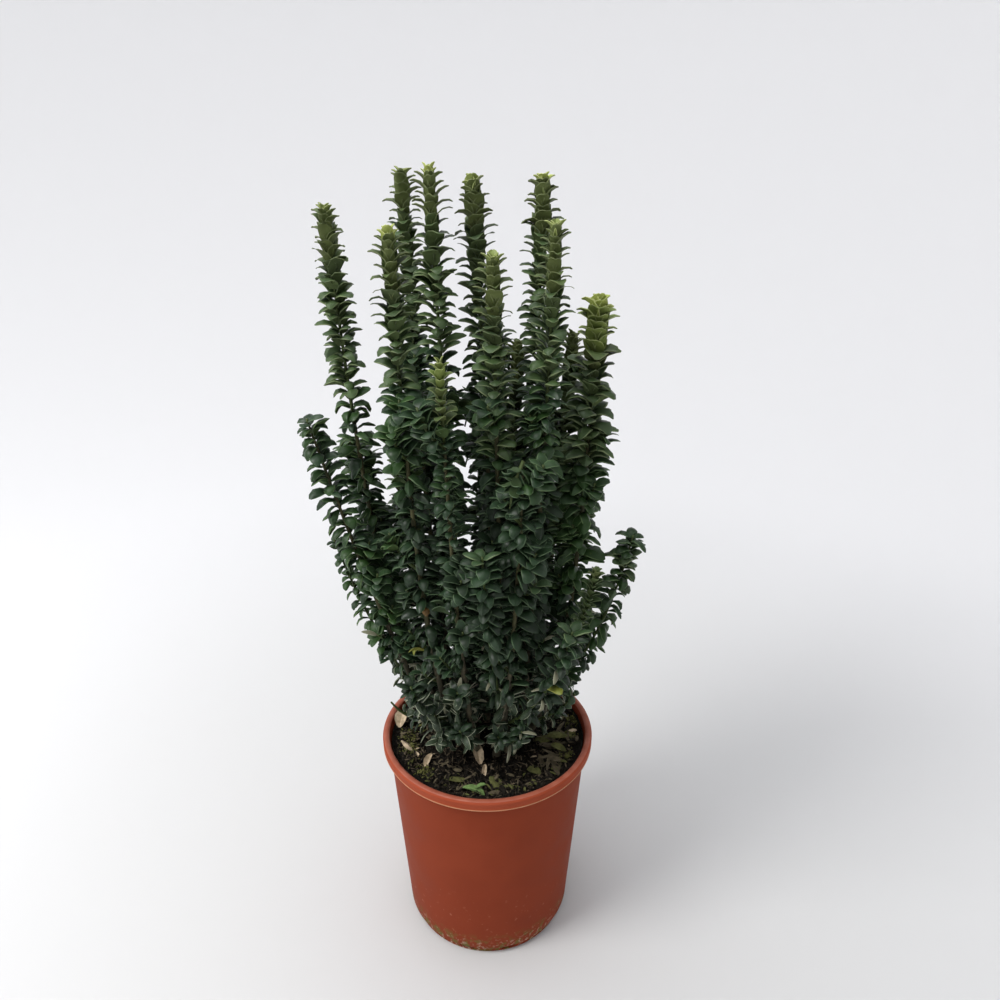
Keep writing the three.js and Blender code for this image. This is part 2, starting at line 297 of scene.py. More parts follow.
world.use_nodes = True
setInputs(world.node_tree.nodes["Background"], {"Color": studio["sky"], "Strength": studio["skyStrength"]})


# The studio's paint: the floor's colour gives way to the wall's by the distance from the middle.
def makePaint():
    paint, shader, place, add = startFinish("studioPaint")
    start, end = studio["fade"]
    reach = add("VectorMath", "Value", {"Vector": place}, operation="LENGTH")
    share = add("MapRange", "Result", {"Value": reach, "From Min": start, "From Max": end},
                interpolation_type="SMOOTHSTEP")
    paints = {"Factor": share, "A": studio["floorPaint"], "B": studio["wallPaint"]}
    setInputs(shader, {"Base Color": add("Mix", "Result", paints, data_type="RGBA"), **studio["paintLook"]})
    return paint


# The stage's side view is a level line, a quarter circle and an upright line, carried round the axis.
def makeStage():
    bend = np.linspace(0, np.pi / 2, studio["curveRings"])
    level = np.array(studio["innerRings"])
    radii = np.concatenate([level, studio["floorRadius"] + studio["curve"] * np.sin(bend)])
    radii = np.append(radii, radii[-1])
    heights = np.concatenate([0 * level, studio["curve"] * (1 - np.cos(bend)), [studio["wallTop"]]])
    rings = aroundAxis(radii[::-1, None], onceRound(studio["around"]), heights[::-1, None]) / metre
    points = np.concatenate([rings.reshape(-1, 3), rings[-1:].mean(1)])
    walls = ringFaces(len(rings), studio["around"])[:, ::-1]
    middle = fan((len(rings) - 1) * studio["around"], studio["around"], len(points) - 1)
    stage = addPiece("studio_floor", points, [walls, middle], [makePaint()], None)


makeStage()
for name, (place, size, watts, colour) in studio["lights"].items():
    light = bpy.data.lights.new(name, "AREA")
    light.shape, light.size, light.energy, light.color = "DISK", size, watts, colour
    lamp = addObject(name, light)
    lamp.location = place
    lamp.rotation_euler = (Vector(studio["lit"]) - lamp.location).to_track_quat("-Z", "Y").to_euler()
print("stage and lights ready")


# The pot: a tapered plastic wall under a rolled rim, on a foot ring with drain slots pressed in its corner.
pot = {
    "rimRadius": 120,
    "height": 250,
    "rimHeight": 11.5,
    "roll": 3.4,  # the radius of the rim's outer roll
    "lineInset": 0.25,  # how far inside the rim's radius the line along its lower edge starts, which is painted pale as a highlight
    "rimTop": 1.2,  # the depth of the rim's top, which is painted lighter as a highlight
    "rimInside": 115,  # the rim's lighter colour, which is painted light, ends at this radius
    "wallTopRadius": 113,
    "wallFootRadius": 97.5,
    "wall": 2.2,
    "floor": 6.4,  # the height of its floor inside
    "footRadius": 94,
    "footHeight": 9,
    "ringRadius": 80,  # the inner radius of the foot ring
    "discRadius": 32,  # the flat middle of the underside
    "recess": 3,
    "drains": 12,
    "drainHalf": 5.18,  # half a slot's width, in degrees round the pot
    "drainMiddle": 2.6,  # the columns between a slot's middle and its sides, in degrees
    "drainEdge": 0.12,  # how far beyond its sides the wall is whole again, in degrees
    "drainLow": 2.7,
    "drainHigh": 8.2,
    "drainRadii": (86.5, 91.9),  # how far in a slot's lower and upper edges are pressed
    "between": (7.6, 10, 12.5),  # the columns between two slots, in degrees from a slot's middle
    "sharp": 55,  # edges that turn by more than this many degrees are sharp
}
plastic = {
    "colour": (0.2, 0.0355, 0.0142), "other": (0.217, 0.0405, 0.0172), "patch": 38, "specular": 0.04,
    "roughness": (0.5, 0.62), "relief": 0.12, "grain": 1.6, "reliefStrength": 0.35,
    # a stain's range of its noise, and the heights between which it fades away
    "stains": [
        {"size": 6, "range": (0.64, 0.74), "colour": (0.3, 0.1, 0.06), "fades": (50, 120)},
        {"size": 9, "range": (0.5, 0.62), "colour": (0.13, 0.1, 0.028), "fades": (16, 34)},
        {"size": 4, "range": (0.56, 0.7), "colour": (0.42, 0.3, 0.22), "fades": (8, 30)},
    ],
}
# the rim's outer face: the pot's plastic made lighter as painted light
rimPaintedLightPlastic = dict(plastic, colour=(0.3, 0.061, 0.028), other=(0.28, 0.054, 0.024))
# the line along the rim's lower edge: a pale plastic that is a painted highlight
rimEdgeHighlightPlastic = {
    "colour": (0.42, 0.19, 0.085), "other": (0.35, 0.135, 0.062), "patch": 12,
    "roughness": (0.4, 0.5), "relief": 0.05, "grain": 1.5,
}
# the rim's top: a lighter plastic that is a painted highlight
rimTopHighlightPlastic = {
    "colour": (0.34, 0.1, 0.06), "other": (0.28, 0.07, 0.038), "patch": 14, "specular": 0.25,
    "roughness": (0.4, 0.55), "relief": 0.1, "grain": 1.6,
}


# The pot's side view as radius and height, from the middle of its underside out, over the rim and
# down inside to the middle of its floor.
def potProfile():
    top, rim, roll, floor = pot["height"], pot["rimRadius"], pot["roll"], pot["floor"]
    wallTop, wallFoot, foot = pot["wallTopRadius"], pot["wallFootRadius"], pot["footRadius"]
    disc, ring, recess, corner = pot["discRadius"], pot["ringRadius"], pot["recess"], pot["footHeight"]
    lip = top - pot["rimHeight"]
    turn = np.radians(np.linspace(-30, 90, 7))

    def wall(heights, inwards=0):
        return [(blend(wallFoot, wallTop, (z - corner) / (lip - corner)) - inwards, z) for z in heights]

    return np.array([
        (disc - 2, 0), (disc, 0), (disc + 1.6, recess - 0.4), (disc + 2.4, recess),
        (ring - 2.4, recess), (ring - 1.6, recess - 0.4), (ring, 0),
        (foot - 1, 0), (foot - 0.2, 0.3), (foot, 1), (foot, pot["drainLow"] - 0.2),
        (foot, pot["drainLow"]), (foot, pot["drainHigh"]), (foot, pot["drainHigh"] + 0.2),
        (wallFoot - 0.9, corner - 0.2), (wallFoot - 0.2, corner + 0.1), (wallFoot + 0.1, corner + 0.9),
        (wallFoot + 0.7, 20), (wallFoot + 2, 40), *wall((60, 90, 120, 150, 180, 205, 225, 235)),
        (wallTop - 0.1, lip - 0.5), (wallTop + 0.4, lip), (rim - 1, lip),
        (rim - pot["lineInset"], lip + 0.1), (rim - 0.05, lip + 0.55), (rim - 0.5, lip + 1.2),
        (rim - 0.7, lip + 2.2), (rim - 0.3, lip + 4),
        *[(rim - roll + roll * np.cos(a), top - roll + roll * np.sin(a)) for a in turn],
        (wallTop + 2.2, top), (wallTop + 0.4, top - 0.7), (wallTop - 0.7, top - 1.9),
        (wallTop - 1.3, top - 4), (wallTop - pot["wall"] + 0.1, lip - 2),
        *wall((215, 180, 120, 60, 13), pot["wall"]),
        (foot - 3.2, corner), (foot - 5.2, floor + 0.2), (foot - 6, floor), (disc - 2, floor),
    ], float)


# The profile carried round the axis, its columns closer at the slots, where two rings are drawn inwards.
def makePot():
    profile = potProfile()
    pitch, half = 360 / pot["drains"], pot["drainHalf"]
    side = np.array([pot["drainMiddle"], half, half + pot["drainEdge"], *pot["between"]])
    steps = np.concatenate([[-pitch / 2], -side[::-1], [0], side])
    middles = (np.arange(pot["drains"]) + 0.5) * pitch
    angle = np.radians(middles[:, None] + steps).reshape(-1)
    inSlot = np.tile(np.abs(steps) <= half, pot["drains"])
    radius = np.repeat(profile[:, :1], len(angle), 1)
    low = int(np.flatnonzero(profile[:, 1] == pot["drainLow"])[0])
    radius[low, inSlot], radius[low + 1, inSlot] = pot["drainRadii"]
    points, quads, ends = closedRings(aroundAxis(radius, angle, profile[:, 1:]))
    line = int(np.flatnonzero(profile[:, 0] == pot["rimRadius"] - pot["lineInset"])[0])
    reach, height = profile[:-1].T
    strip = np.arange(len(reach))
    # The line under the rim and the rim's top take pale plastics as painted highlights, and the rim's outer
    # face a lighter plastic as painted light.
    rimTop = height > pot["height"] - pot["rimTop"]
    rimSide = (strip > line + 1) & (height > profile[line, 1]) & (reach > pot["rimInside"])
    finishOf = np.select([np.isin(strip, (line, line + 1)), rimTop, rimSide], [1, 2, 3], 0)
    finishOf = np.concatenate([np.repeat(finishOf, len(angle)), np.zeros(len(ends), int)])
    finishes = [
        makeFinish("potPlastic", plastic), makeFinish("rimEdgeHighlightPlastic", rimEdgeHighlightPlastic),
        makeFinish("rimTopHighlightPlastic", rimTopHighlightPlastic), makeFinish("rimPaintedLightPlastic", rimPaintedLightPlastic),
    ]
    addPiece("plastic_pot", points, [quads, ends], finishes, "pot", ["pot"], finishOf, pot["sharp"])


makePot()

# The potting soil: a crumbly bed with clods, bark fibres, moss and fallen leaves.
soil = {
    "top": 232,
    "heap": 8,  # how much higher it lies against the wall
    "heapOver": (80, 108),  # the radii over which it rises to that
    "heapPower": 1.2,
    "coarse": (34, 3, 2),  # wavelength, seed and octaves of its lumps
    "coarseHeight": 1.6,
    "fine": (9, 5, 3),
    "fineHeight": 2.8,
    "calm": (112, 106),  # the radii over which the lumps grow from half their height to all of it
    "edge": 110.2,
    "rings": 70,
    "around": 200,
    "firstRing": 0.0004,  # the share of the bed inside its first ring
    "under": ((109.5, 222), (95, 16), (90, 10.5), (86, 7), (30, 6.9)),  # radius and height
}
soilLook = {
    "colour": (0.0025, 0.002, 0.0012), "other": (0.01, 0.008, 0.005), "patch": 6,
    "roughness": (0.75, 0.95), "relief": 1.2, "grain": 1.1, "reliefStrength": 0.9, "specular": 0.15,
}


# The height of the soil at each place: level, heaped a little to the wall, with lumps of two sizes.
def soilHeight(x, y):
    places = np.stack([x, y, 0 * x], -1)
    reach = np.hypot(x, y)
    heap = soil["heap"] * ramp(reach, *soil["heapOver"]) ** soil["heapPower"]
    coarse = lumps(places, *soil["coarse"]) * soil["coarseHeight"]
    fine = np.abs(lumps(places, *soil["fine"])) * soil["fineHeight"]
    return soil["top"] + heap + (coarse + fine - 1) * (0.5 + 0.5 * ramp(reach, *soil["calm"]))


# Places on the soil, or lifted above it.
def onSoil(x, y, lift=0):
    return np.stack([x, y, soilHeight(x, y) + lift], -1)


# The bed is a disc of rings at the soil's height, closed by a straight side and a level underside.
def makeSoilBed():
    reach = soil["edge"] * np.sqrt(np.linspace(soil["firstRing"], 1, soil["rings"]))[:, None]
    angle = onceRound(soil["around"])
    radius, height = np.array(soil["under"]).T[..., None]
    top = onSoil(reach * np.cos(angle), reach * np.sin(angle))
    points, quads, ends = closedRings(np.concatenate([top, aroundAxis(radius, angle, height)]))
    finishes = [makeFinish("pottingSoil", soilLook)]
    addPiece("soil_bed", points, [quads[:, ::-1], ends[:, ::-1]], finishes, "soil", ["soil"])


makeSoilBed()

# What lies on the soil: sizes are half lengths, and leans are in radians.
crumbs = {
    "seed": 21,  # of the places and sizes, where a kind's own is for how uneven its bodies are
    "latitudes": (-48, 0, 48),  # of a body's three rings
    "uneven": (0.72, 1.2),
    "turn": 6.3,  # a little over once round
    "soil_clods": {
        "count": 1500, "within": 107, "size": (0.7, 2.3), "shape": (0.7, 1.3), "lift": 0.25, "seed": 22,
        "look": {"colour": (0.004, 0.003, 0.002), "other": (0.024, 0.018, 0.012), "patch": 3},
    },
    "bark_fibres": {
        "count": 950, "within": 101, "size": ((1.5, 8), (0.35, 1.2), (0.25, 0.6)), "lift": 0.7,
        "lean": 0.25, "seed": 23,
        "look": {"colour": (0.012, 0.009, 0.006), "other": (0.15, 0.12, 0.08), "patch": 7, "relief": 0.4},
    },
    "soil_moss": {
        "count": 900, "within": 107, "size": (0.5, 1.3), "shape": (1, 0.6, 1.5), "lift": 0.8,
        "lean": 1.1, "seed": 24, "sides": 5,
        # place and radius
        "spots": [(-90, -2, 15), (-88, -24, 13), (100, 22, 11), (95, 0, 10), (-70, -58, 10), (88, -36, 8)],
        "spread": 0.45,  # of a spot's radius
        "look": {"colour": (0.05, 0.055, 0.014), "other": (0.18, 0.18, 0.06), "patch": 6, "relief": 0.4},
    },
}


# Places dealt out over a disc, denser to its edge the lower the power: reach = within u^power, where u
# runs from inner to 1.
def overDisc(draw, count, within, inner=0, power=0.5):
    reach = within * draw.uniform(inner, 1, count) ** power
    angle = draw.uniform(0, 2 * np.pi, count)
    return reach * np.cos(angle), reach * np.sin(angle), angle


# Turns about the upright axis, then a lean from it: one 3 x 3 table for each body.
def turnsOf(yaw, lean):
    cosine, sine, zero, one = np.cos(yaw), np.sin(yaw), 0 * yaw, 0 * yaw + 1
    about = np.stack([cosine, -sine, zero, sine, cosine, zero, zero, zero, one], -1).reshape(-1, 3, 3)
    cosine, sine = np.cos(lean), np.sin(lean)
    tilt = np.stack([cosine, zero, sine, zero, one, zero, -sine, zero, cosine], -1).reshape(-1, 3, 3)
    return about @ tilt


# Small bodies of three rings and two ends each: a ball's rings, stretched, turned and made uneven.
def scatter(places, sizes, turns, seed, sides=6):
    draw = np.random.default_rng(seed)
    latitude = np.radians(crumbs["latitudes"])[:, None]
    rings = aroundAxis(np.cos(latitude), onceRound(sides), np.sin(latitude))
    ball = np.concatenate([rings.reshape(-1, 3), [[0, 0, -1]], [[0, 0, 1]]])
    rough = ball * sizes[:, None, :] * draw.uniform(*crumbs["uneven"], (len(places), len(ball), 1))
    points = np.einsum("nij,nkj->nki", turns, rough) + places[:, None, :]
    _, quads, ends = closedRings(rings)
    start = (np.arange(len(places)) * len(ball))[:, None, None]
    return points.reshape(-1, 3), (quads + start).reshape(-1, 4), (ends + start).reshape(-1, 3)


# Clods: crumbs of all sizes over the whole bed, each partly sunk and turned by its own place's angle.
def clodBodies(draw, clods):
    x, y, angle = overDisc(draw, clods["count"], clods["within"])
    size = draw.uniform(*clods["size"], (len(x), 1)) * draw.uniform(*clods["shape"], (len(x), 3))
    places = onSoil(x, y, clods["lift"] * size[:, 2])
    return scatter(places, size, turnsOf(angle * 3, angle * 2), clods["seed"])


# Bark fibres: long thin bodies that lie nearly level, in all directions.
def fibreBodies(draw, fibres):
    x, y, _ = overDisc(draw, fibres["count"], fibres["within"])
    size = np.stack([draw.uniform(*limits, len(x)) for limits in fibres["size"]], -1)
    turns = turnsOf(draw.uniform(0, crumbs["turn"], len(x)), draw.normal(0, fibres["lean"], len(x)))
    return scatter(onSoil(x, y, fibres["lift"]), size, turns, fibres["seed"])


# Moss: upright tufts, denser to the middle of each spot, as a normal spread of its radius deals them out.
def mossBodies(draw, moss):
    spots = np.array(moss["spots"], float)[draw.integers(0, len(moss["spots"]), moss["count"])]
    x, y = (spots[:, way] + draw.normal(0, moss["spread"], len(spots)) * spots[:, 2] for way in (0, 1))
    kept = np.hypot(x, y) < moss["within"]
    x, y = x[kept], y[kept]
    size = draw.uniform(*moss["size"], (len(x), 1)) * moss["shape"]
    turns = turnsOf(draw.uniform(0, crumbs["turn"], len(x)), draw.uniform(0, moss["lean"], len(x)))
    return scatter(onSoil(x, y, moss["lift"]), size, turns, moss["seed"], moss["sides"])


# The three kinds, one piece each, from one run of random numbers.
def makeSoilCrumbs():
    draw = np.random.default_rng(crumbs["seed"])
    kinds = {"soil_clods": clodBodies, "bark_fibres": fibreBodies, "soil_moss": mossBodies}
    for name, bodies in kinds.items():
        points, quads, ends = bodies(draw, crumbs[name])
        finish = makeFinish(name, {**soilLook, **crumbs[name]["look"]})
        addPiece(name, points, [quads, ends], [finish], "soil")


makeSoilCrumbs()
print("pot and soil ready")

# The clump: for each tall shoot its tip, how late it turns upright, and its foot where that isn't a
# set share of the way out to its tip. These are the solids' own values.
clump = {
    "footShare": 0.3,
    "ground": 232.3,
    "boughTop": 276,
    "boughFootRadius": 4.6,
    "boughTopRadius": 3.6,
    "tipRadius": 1.1,
    "thinning": 0.75,  # below 1, a stem thins most just above its bough
    "sideRadii": (1.9, 0.935),  # foot and tip of every other shoot
    "tall": {
        "far_left": ((-142, 10, 812), 0.38, None),
        "left_front": ((-77, -60, 794), 0.3, None),
        "left_back": ((-76, 45, 841), 0.35, None),
        "left_inner": ((-47, -5, 842), 1.5, None),
        "centre": ((-11, 28, 833), -2.5, (11, 4)),
        "centre_front": ((8, -55, 774), 1.5, (22, -26)),
        "right_inner": ((53, 30, 835), 0.2, (26, 14)),
        "right_front": ((60, -50, 799), 0.9, (35, -15)),
        "far_right": ((104, -5, 732), 0.2, (40, -2)),
        "low_front": ((-36, -92, 698), 0.7, None),
        "centre_back": ((33, 76, 680), 0.6, None),
        "right_back": ((88, 60, 690), 0.5, (32, 30)),
        "outer_left": ((-166, -35, 634), 4, None),
        "back_right": ((66, 104, 640), 0.6, None),
        "back_left": ((-60, 98, 630), 0.6, None),
        "back_outer_left": ((-97, 76, 560), 0.6, None),
        "back_middle": ((-4, 112, 575), 0.6, None),
        "back_outer_right": ((112, 74, 580), 0.6, (41, 20)),
        "rear_left": ((-143, 40, 588), 2, None),
        "front_right": ((34, -96, 600), 0.7, None),
    },
    # how much older than a fresh spire's the first leaves are, as a distance below its tip
    "head": {
        "outer_left": 110, "rear_left": 60, "front_right": 150, "low_front": 14, "side_left": 110,
        "side_right": 110, "side_right_front": 6, "side": 95, "skirt": 90, "twig": 60,
    },
    "freshTop": {"low_front": 25},  # the length over which it ages from fresh to that
    # name: the shoot it leaves, the height it leaves at, tip, bend
    "side": {
        "side_left": ("outer_left", 300, (-160, -4, 500), 2),
        "side_right": ("far_right", 300, (151, -12, 505), 0.8),
        "side_right_front": ("right_front", 298, (108, -62, 488), 0.8),
        "side_front": ("centre_front", 300, (-2, -108, 528), 0.8),
        "side_front_right": ("front_right", 290, (84, -98, 444), 0.8),
    },
    "skirt": {
        "skirt_left": ("far_left", 285, (-122, 14, 366), 0.8),
        "skirt_left_front": ("outer_left", 270, (-104, -50, 326), 0.8),
        "skirt_right": ("far_right", 280, (118, 16, 396), 0.8),
        "skirt_right_front": ("right_front", 268, (98, -40, 330), 0.8),
        "skirt_front_left": ("left_front", 285, (-76, -86, 372), 0.8),
        "skirt_front": ("low_front", 270, (-28, -88, 318), 0.8),
        "skirt_front_right": ("front_right", 262, (38, -86, 316), 0.8),
        "skirt_back_left": ("back_outer_left", 280, (-94, 84, 366), 0.8),
        "skirt_back": ("back_middle", 272, (-8, 100, 352), 0.8),
        "skirt_back_right": ("back_outer_right", 280, (88, 88, 372), 0.8),
        "skirt_rear_left": ("rear_left", 290, (-124, 34, 400), 0.8),
    },
}


# A shoot's points: height moves evenly with the share, and the sideways reach is s(1 + b) / (s + b).
def pointOn(shoot, share):
    share = np.asarray(share, float)
    reach = share * (1 + shoot["bend"]) / (share + shoot["bend"])
    shares = np.stack([reach, reach, share], -1)
    return shoot["root"] + (shoot["tip"] - shoot["root"]) * shares


# The share of a shoot at which it has a height: (height - foot) / (tip - foot).
def shareAt(shoot, height):
    return (height - shoot["root"][2]) / (shoot["tip"][2] - shoot["root"][2])


# The frame of a shoot: its tangent from two near points, the x axis made square to that, and the
# direction square to both.
def frameOn(shoot, share, step=0.004):
    before, after = np.maximum(0, share - step), np.minimum(1, share + step)
    along = unit(pointOn(shoot, after) - pointOn(shoot, before))
    right = unit(np.array([1.0, 0, 0]) - along * along[..., :1])
    return along, right, np.cross(along, right)


# One shoot: where it runs, how much older its first leaves are, and the straight length root to tip.
def planShoot(name, kind, root, tip, bend, parent=None):
    root, tip = np.array(root, float), np.array(tip, float)
    head = clump["head"].get(name, clump["head"].get(kind, 0))
    return {
        "name": name, "kind": kind, "root": root, "tip": tip, "bend": bend, "parent": parent, "head": head,
        "freshTop": clump["freshTop"].get(name, 0), "length": np.linalg.norm(tip - root),
    }


# All the shoots in the solids' order. A side shoot's root lies on the shoot that it leaves.
def planClump():
    shoots = {}
    for name, (tip, bend, foot) in clump["tall"].items():
        x, y = foot or (tip[0] * clump["footShare"], tip[1] * clump["footShare"])
        shoots[name] = planShoot(name, "tall", (x, y, clump["ground"]), tip, bend)
    for kind in ("side", "skirt"):
        for name, (parent, height, tip, bend) in clump[kind].items():
            root = pointOn(shoots[parent], shareAt(shoots[parent], height))
            shoots[name] = planShoot(name, kind, root, tip, bend, parent)
    return list(shoots.values())


# How far each point lies from a shoot: the nearest place is found by moving along it by the part of
# the gap that lies along its tangent, three times.
def gapTo(shoot, points, step=0.002, lowest=0.003):
    share = np.clip(shareAt(shoot, points[..., 2]), 0, 1)
    for _ in range(3):
        ahead = (pointOn(shoot, share + step) - pointOn(shoot, share - step)) / (2 * step)
        gap = points - pointOn(shoot, share)
        share = np.clip(share + (gap * ahead).sum(-1) / (ahead**2).sum(-1), lowest, 1)
    return np.linalg.norm(points - pointOn(shoot, share), axis=-1)


# The thickness of a stem: a bough's taper up to where its leaves begin, then evenly finer to the tip.
def stemRadius(shoot, share):
    if shoot["kind"] != "tall":
        return blend(*clump["sideRadii"], share)
    top = shareAt(shoot, clump["boughTop"])
    bough = blend(clump["boughFootRadius"], clump["boughTopRadius"], share / top)
    upper = blend(clump["boughTopRadius"], clump["tipRadius"], ramp(share, top, 1) ** clump["thinning"])
    return np.where(share < top, bough, upper)


shoots = planClump()

# Finer twigs, which leave the tall shoots low down, turn upright and carry smaller leaves.
twigs = {
    "heights": (256, 640),
    "crowding": 1.25,  # above 1, more of them stand low down
    "perShoot": 14,
    # heights, and how far out from the middle the tips may stand there
    "envelope": ((232, 284, 338, 364, 415, 463, 520, 620), (84, 92, 104, 118, 134, 148, 138, 118)),
    "length": (30, 58),
    "spread": (0.68, 0.42),  # how far out a low and a high twig's tip stands, as a share of its length
    "bend": 0.7,
    "clearance": 10,
    "seed": 1000,
}


# Each tall shoot's twigs stand at even ranks, raised to the crowding, and point a random way round it.
# The tip lies length x spread out from the shoot and length x the root of (1 - spread^2) along it, and
# the twig is left out where that is too near another shoot or past the envelope.
def planTwigs():
    found = []
    for index, parent in enumerate(shoots):
        if parent["kind"] != "tall":
            continue
        for number in range(twigs["perShoot"]):
            seed = twigs["seed"] + index * 31 + number * 3
            rank = (number + chance(seed)) / twigs["perShoot"]
            share = shareAt(parent, blend(*twigs["heights"], rank ** twigs["crowding"]))
            along, right, back = frameOn(parent, share)
            outward = facing(right, back, chance(seed + 1) * 2 * np.pi)
            length = blend(*twigs["length"], chance(seed + 2))
            spread = blend(*twigs["spread"], rank)
            root = pointOn(parent, share)
            tip = root + length * (outward * spread + along * (1 - spread**2) ** 0.5)
            others = [gapTo(other, tip[None])[0] for other in shoots if other is not parent]
            room = np.interp(tip[2], *twigs["envelope"]) - np.hypot(tip[0], tip[1])
            if min(others) > twigs["clearance"] and room > 0:
                name = f"twig_{index}_{number}"
                found.append(planShoot(name, "twig", root, tip, twigs["bend"], parent["name"]))
    return found


twigShoots = planTwigs()
everyShoot = shoots + twigShoots
print(f"{len(shoots)} shoots and {len(twigShoots)} finer twigs planned")

# The leaves: how they change with the distance below a shoot's tip, in millimetres and degrees. The
# rise is above square to the stem at the leaf's root, the curl is how far it has bent back at its tip,
# and the fold is how far its edges turn: up towards the stem above 0, or down into a dome below 0.
leaf = {
    "below": (0, 3, 8, 15, 35, 85, 130, 220, 600),
    "spacing": (1.6, 1.9, 2.7, 3.5, 3.7, 3.8, 3.9, 4.6, 5.8),
    "length": (8, 12, 16, 19.5, 22, 24.5, 25.5, 25, 23.5),
    "width": (0.74, 0.8, 0.7, 0.62, 0.6, 0.64, 0.62, 0.55, 0.5),
    "rise": (84, 80, 75, 71, 71, 73, 71, 62, 46),
    "curl": (14, 34, 54, 66, 86, 126, 142, 142, 130),
    "fold": (43, 46, 48, 44, 30, -46, -66, -66, -60),
    "bends": (1.7, 1.7, 1.7, 1.7, 1.6, 1.3, 1.15, 0.95, 0.8),  # 1 bends evenly, more bends the outer part
    "first": 3.0,  # how far below the growing point the first pair stands
    "sunk": 7.5,  # how far the growing point stands below the solids' tip
    "lowest": 258,  # the height at which a tall shoot's leaves end
    "bareFoot": 6,  # the length without leaves at the foot of any other shoot
    "freshBelow": 7,  # an older shoot with a fresh top starts to age here
    "oldAt": 220,  # from here down a leaf is as uneven as an old one
    "youthTo": 230,  # and from here down it has an old leaf's outline
    "broadTo": 90,  # the broad young leaves end here
    "seat": 0.8,  # a leaf leaves the stem at this share of its radius
    # how much leaves differ: a share, or degrees from young to old, and for the fold from high to low.
    # The turn is in radians, and so are the first pair's start and the drift for each millimetre.
    "uneven": {
        "spacing": 0.24, "length": 0.34, "width": 0.2, "rise": (8, 42), "curl": 0.6, "fold": (24, 64),
        "roll": (16, 70), "turn": (0.4, 1.7), "start": 0.4, "drift": 0.0072,
    },
    # the first leaves of an older tip lie open: over what length, from what head up, and by how much
    # their length, rise and curl are less
    "opens": {"over": 18, "fromHead": 20, "length": 0.25, "rise": 22, "curl": 0.3},
    "thickness": 0.42,
    "groove": 0.35,
    "midrib": 0.9,  # how much thicker the blade is along its middle, as a share
    "slack": 9,  # how much nearer to another shoot than to its own a leaf may reach
    "offStem": 4,
    "offSoil": 1.5,
    "fits": (1, 0.86, 0.72, 0.58),  # the sizes that a leaf is tried at
    # how large the leaves are, by kind of shoot or by its name
    "kinds": {
        "tall": 1.0, "side": 1.0, "skirt": 0.9, "twig": 0.86, "side_right_front": 0.62,
        "far_right": 1.2, "right_front": 0.94, "low_front": 0.68, "outer_left": 1.0, "side_left": 0.88,
        "skirt_left": 0.8, "side_right": 1.12,
    },
    "twisted": (470, 300),  # between these heights the leaves turn narrower, smaller and more twisted
    "narrowest": 0.74,  # their width and length there, as shares
    "shortest": 0.85,
    # young leaves that are broader than the rest
    "broad": {"far_right": 1.45, "centre": 1.5, "right_inner": 1.3, "right_back": 1.2},
    "dryShare": 0.09,  # of the lowest leaves
    "dryWidth": 0.5,  # what a dry leaf keeps of its width
    # heights, and how far out from the middle the leaves reach there
    "envelope": ((232, 284, 338, 364, 415, 463, 508, 570), (90, 93, 113, 131, 146, 159, 167, 178)),
}
bladeRows = np.array([0, 0.12, 0.36, 0.62, 0.86, 1.0])  # how far along the blade its six rings stand
youngWidths = np.array([0.5, 0.92, 1.0, 0.88, 0.56, 0.16])  # broad from the base, as they clasp the stem
oldWidths = np.array([0.14, 0.5, 0.9, 1.0, 0.74, 0.22])
ringAcross = np.array([-1, -0.88, 0, 0.88, 1, 1, 0, -1])  # five points above, three below
ringSide = np.array([1, 1, 1, 1, 1, -1, -1, -1])
inMiddle = ringAcross == 0


# The middle line of a blade: its angle falls from the rise by curl v^bends, and the line is the running
# sum of that angle's cosine outwards and sine along the stem.
def midrib(rise, curl, bends, length, steps=50):
    fine = np.linspace(0, 1, steps + 1)
    angle = rise[:, None] - curl[:, None] * fine ** bends[:, None]
    ways = np.stack([np.cos(angle), np.sin(angle)], -1)
    line = np.cumsum((ways[:, 1:] + ways[:, :-1]) / 2 / steps, 1)
    line = np.concatenate([np.zeros((len(rise), 1, 2)), line], 1)
    places = (bladeRows * steps).round().astype(int)
    return line[:, places] * length[:, None, None], angle[:, places]


